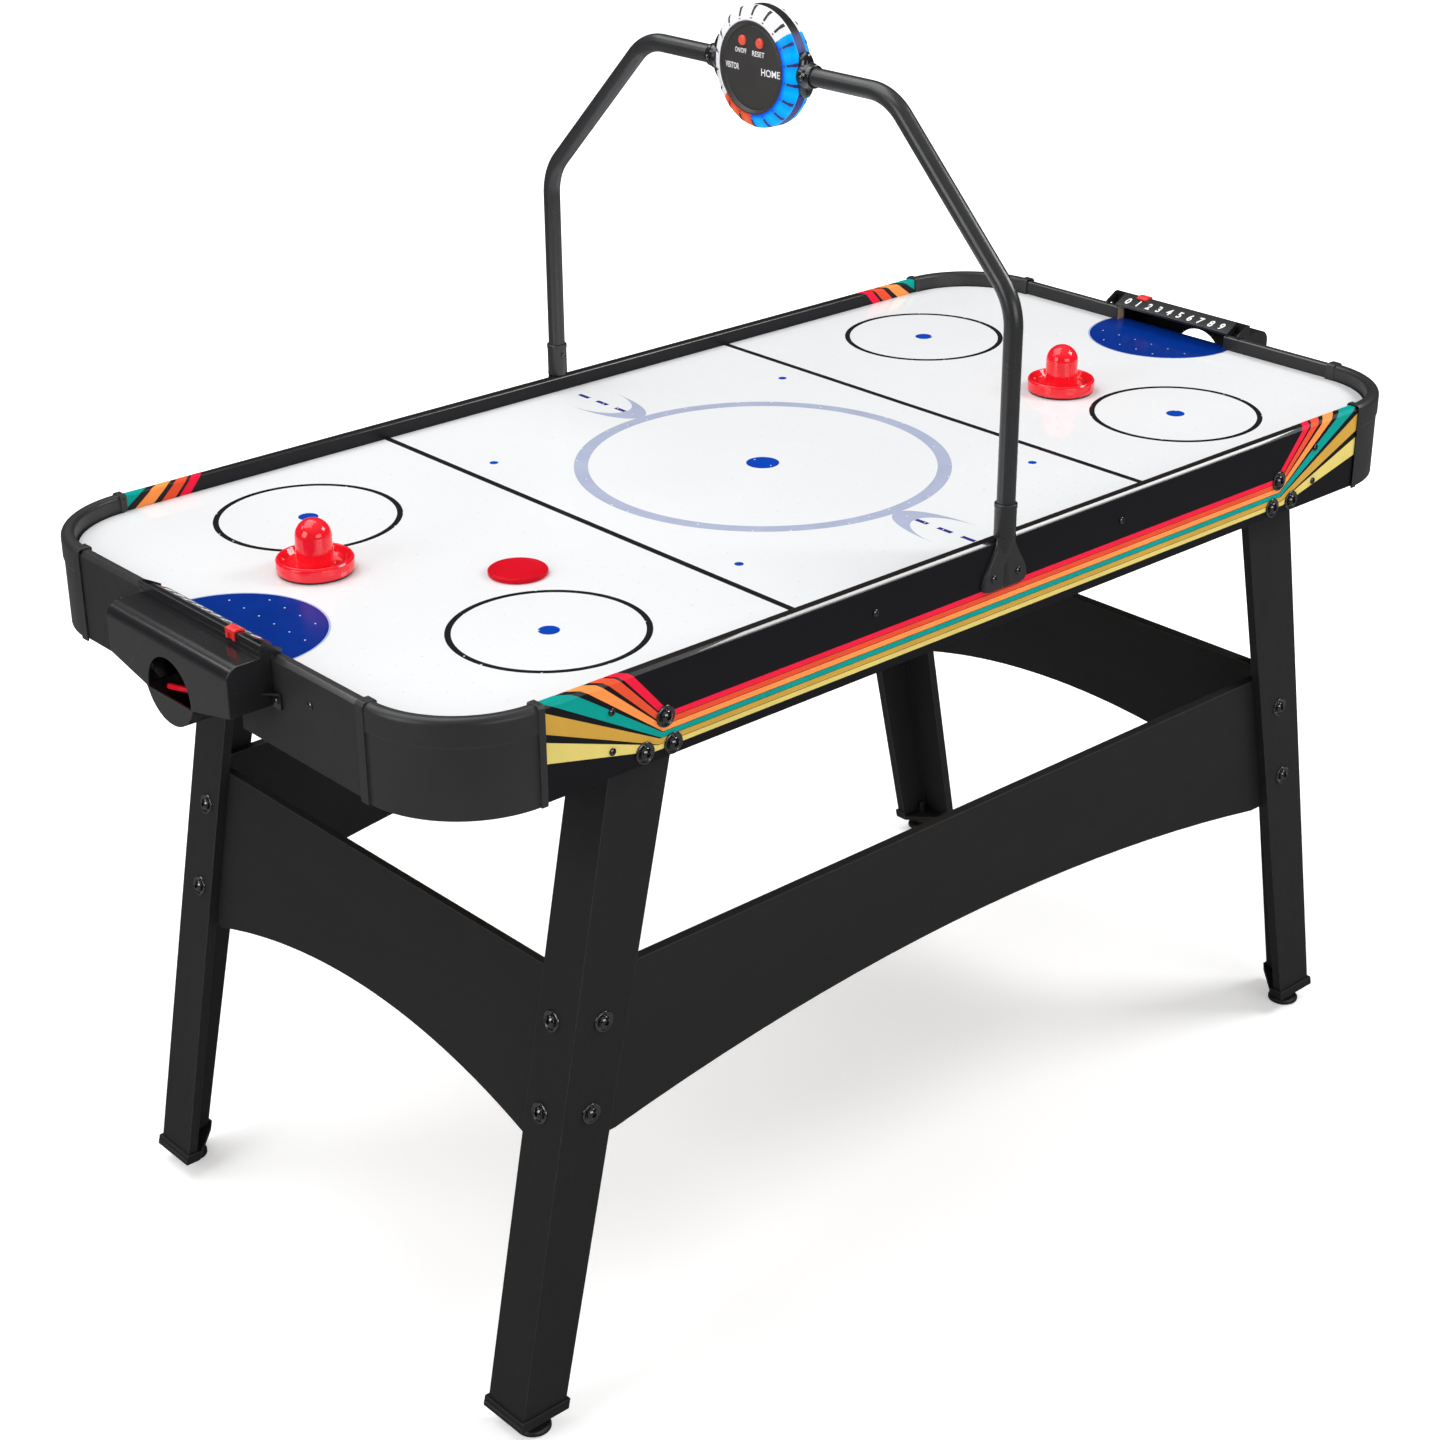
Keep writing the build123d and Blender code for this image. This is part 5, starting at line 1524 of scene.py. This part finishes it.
# ------------------------------------------------------------------ strikers and pucks
def striker(end):
    """Dished base with a raised rim round a knob with a half round top."""
    node = "pusher_" + end
    low, high, middle = extent(node)
    rim = (high.x - low.x) / 2 / MM
    top = (high.z - low.z) / MM
    knob = 19.3
    # radius, height, corner radius
    profile = fillet([
        (0, 0), (rim - 1.4, 0.0, 0.4), (rim - 0.3, 1.0, 0.8), (rim, 6.0, 4.0),
        (rim - 0.1, 12.6, 1.6), (rim - 1.7, 14.9, 1.2), (rim - 3.6, 14.7, 1.2),
        (rim - 8.0, 7.6, 3.0), (rim - 12.0, 5.5, 3.0), (knob + 1.5, 5.2, 1.0),
        (knob + 0.5, 6.6, 1.6), (knob + 0.1, 18.0, 6.0), (knob, top - knob),
    ])
    # the half round starts at the last point
    profile.pop()
    for degrees in range(0, 90, 5):
        a = radians(degrees)
        profile.append((knob * cos(a), top - knob + knob * sin(a)))
    profile.append((0, top))
    shape = Shape()
    lathe(shape, profile, (middle.x, middle.y, low.z), (0, 0, 1), 96)
    shape.replace(node, "red_gloss", "red_gloss", 60, body=node)


PUCK_RADIUS = 31.5
# radius, height, corner radius
PUCK_PROFILE = [
    (0, 0.1), (30.2, 0.1, 0.6), (PUCK_RADIUS, 1.1, 0.8), (PUCK_RADIUS, 4.5, 0.8),
    (30.2, 5.55, 0.7), (27.3, 5.55, 0.5), (26.6, 4.95, 0.5), (0, 4.95),
]
PUCK_MIDDLE = 2.8


def puck(node, origin, axis):
    shape = Shape()
    lathe(shape, fillet(PUCK_PROFILE, 4), origin, axis, 96)
    shape.replace(node, "red_puck", "red_gloss", 50, body=node)


for end in ENDS:
    striker(end)
puck_low, _, puck_middle = extent("puck_play")
puck("puck_play", (puck_middle.x, puck_middle.y, puck_low.z), (0, 0, 1))
tilted = Vector((0.43, 0.18, 0.885)).normalized()
puck("puck_return", extent("puck_return")[2] - tilted * PUCK_MIDDLE * MM, tilted)


# ------------------------------------------------------------------ floor
def floor_material():
    """Pale floor that fades to white for the camera and looks dim in reflections."""
    g = Material("floor_pale")
    rays = g.node("ShaderNodeLightPath")
    x, y, _ = g.split(g.place)
    fade = g.remap(g.length(x, y), 0.7, 3.2, 0.35, 1.0)
    g.shade({
        "Base Color": g.mix(g.spread(g.noise(0.6)), (0.885, 0.885, 0.885), (0.90, 0.90, 0.90)),
        "Roughness": 0.7,
        "Specular IOR Level": 0.2,
        "Emission Color": (1.0, 1.0, 1.0),
        "Emission Strength": g.math("MULTIPLY", rays.outputs["Is Camera Ray"], fade),
    })
    dim = g.node("ShaderNodeBsdfDiffuse", {"Color": (0.22, 0.22, 0.22)})
    g.fill(g.output, {0: g.mix_shader(rays.outputs["Is Glossy Ray"],
                                      g.principled.outputs[0], dim.outputs[0])})


bpy.ops.mesh.primitive_plane_add(size=40.0, location=(0, 0, -0.0002))
floor = bpy.context.object
floor.name = "floor"
floor_material()
floor.data.materials.append(MATERIALS["floor_pale"])

# ------------------------------------------------------------------ world and lights
scene = bpy.context.scene
scene.view_settings.view_transform = "Standard"
scene.view_settings.look = "None"
scene.view_settings.exposure = 0.0


def studio_world():
    """White to the camera, softer as light, and a dim room with a bright top in reflections."""
    world = bpy.data.worlds.new("studio")
    scene.world = world
    world.use_nodes = True
    g = Graph(world.node_tree)
    rays = g.node("ShaderNodeLightPath").outputs
    ambient = g.node("ShaderNodeBackground", {0: (0.98, 0.99, 1.0), 1: 0.42})
    backdrop = g.node("ShaderNodeBackground", {0: (1.0, 1.0, 1.0), 1: 1.0})
    height = g.split(g.node("ShaderNodeTexCoord").outputs["Generated"])[2]
    room = g.node("ShaderNodeBackground", {1: g.remap(height, 0.5, 0.9, 0.03, 0.5)})
    unseen = g.mix_shader(rays["Is Glossy Ray"], ambient.outputs[0], room.outputs[0])
    seen = g.mix_shader(rays["Is Camera Ray"], unseen, backdrop.outputs[0])
    g.node("ShaderNodeOutputWorld", {0: seen})


studio_world()

# name, place, target, width, height, power in watts
LIGHTS = [
    ("softbox_top", (-0.6, 1.2, 3.6), (0, 0, 0.6), 3.4, 2.4, 78),
    ("softbox_left", (-3.6, 0.2, 2.0), (0, 0, 0.7), 1.6, 1.8, 43),
    ("softbox_front", (-0.4, -4.4, 1.9), (0, 0, 0.6), 2.8, 1.6, 50),
    ("strip_right", (2.05, -1.52, 2.75), (0.0, -0.37, 0.84), 1.25, 0.98, 50),
    ("strip_left", (-2.05, 2.05, 2.70), (-0.73, 0.0, 0.84), 1.3, 0.5, 7),
]
for name, place, target, width, height, power in LIGHTS:
    light = bpy.data.lights.new(name, "AREA")
    light.shape = "RECTANGLE"
    light.size = width
    light.size_y = height
    light.energy = power
    lamp = bpy.data.objects.new(name, light)
    COLLECTION.objects.link(lamp)
    lamp.location = place
    lamp.rotation_mode = "QUATERNION"
    lamp.rotation_quaternion = (Vector(target) - Vector(place)).to_track_quat("-Z", "Y")

# ------------------------------------------------------------------ camera
CAMERA_PLACE = (-1.958575, -2.120007, 1.874258)
AZIMUTH, ELEVATION, ROLL = radians(-41.72637), radians(25.48182), radians(-0.35756)


def add_camera():
    data = bpy.data.cameras.new("camera")
    camera = bpy.data.objects.new("camera", data)
    COLLECTION.objects.link(camera)
    data.sensor_width = 36.0
    data.lens = 66.74515
    data.clip_start, data.clip_end = 0.05, 100.0
    backward = Vector((sin(AZIMUTH) * cos(ELEVATION), -cos(AZIMUTH) * cos(ELEVATION),
                       sin(ELEVATION)))
    forward = -backward
    level = forward.cross(Vector((0, 0, 1))).normalized()
    upright = level.cross(forward)
    right = level * cos(ROLL) + upright * sin(ROLL)
    up = upright * cos(ROLL) - level * sin(ROLL)
    matrix = Matrix((right, up, backward)).transposed().to_4x4()
    matrix.translation = Vector(CAMERA_PLACE)
    camera.matrix_world = matrix
    scene.camera = camera


add_camera()
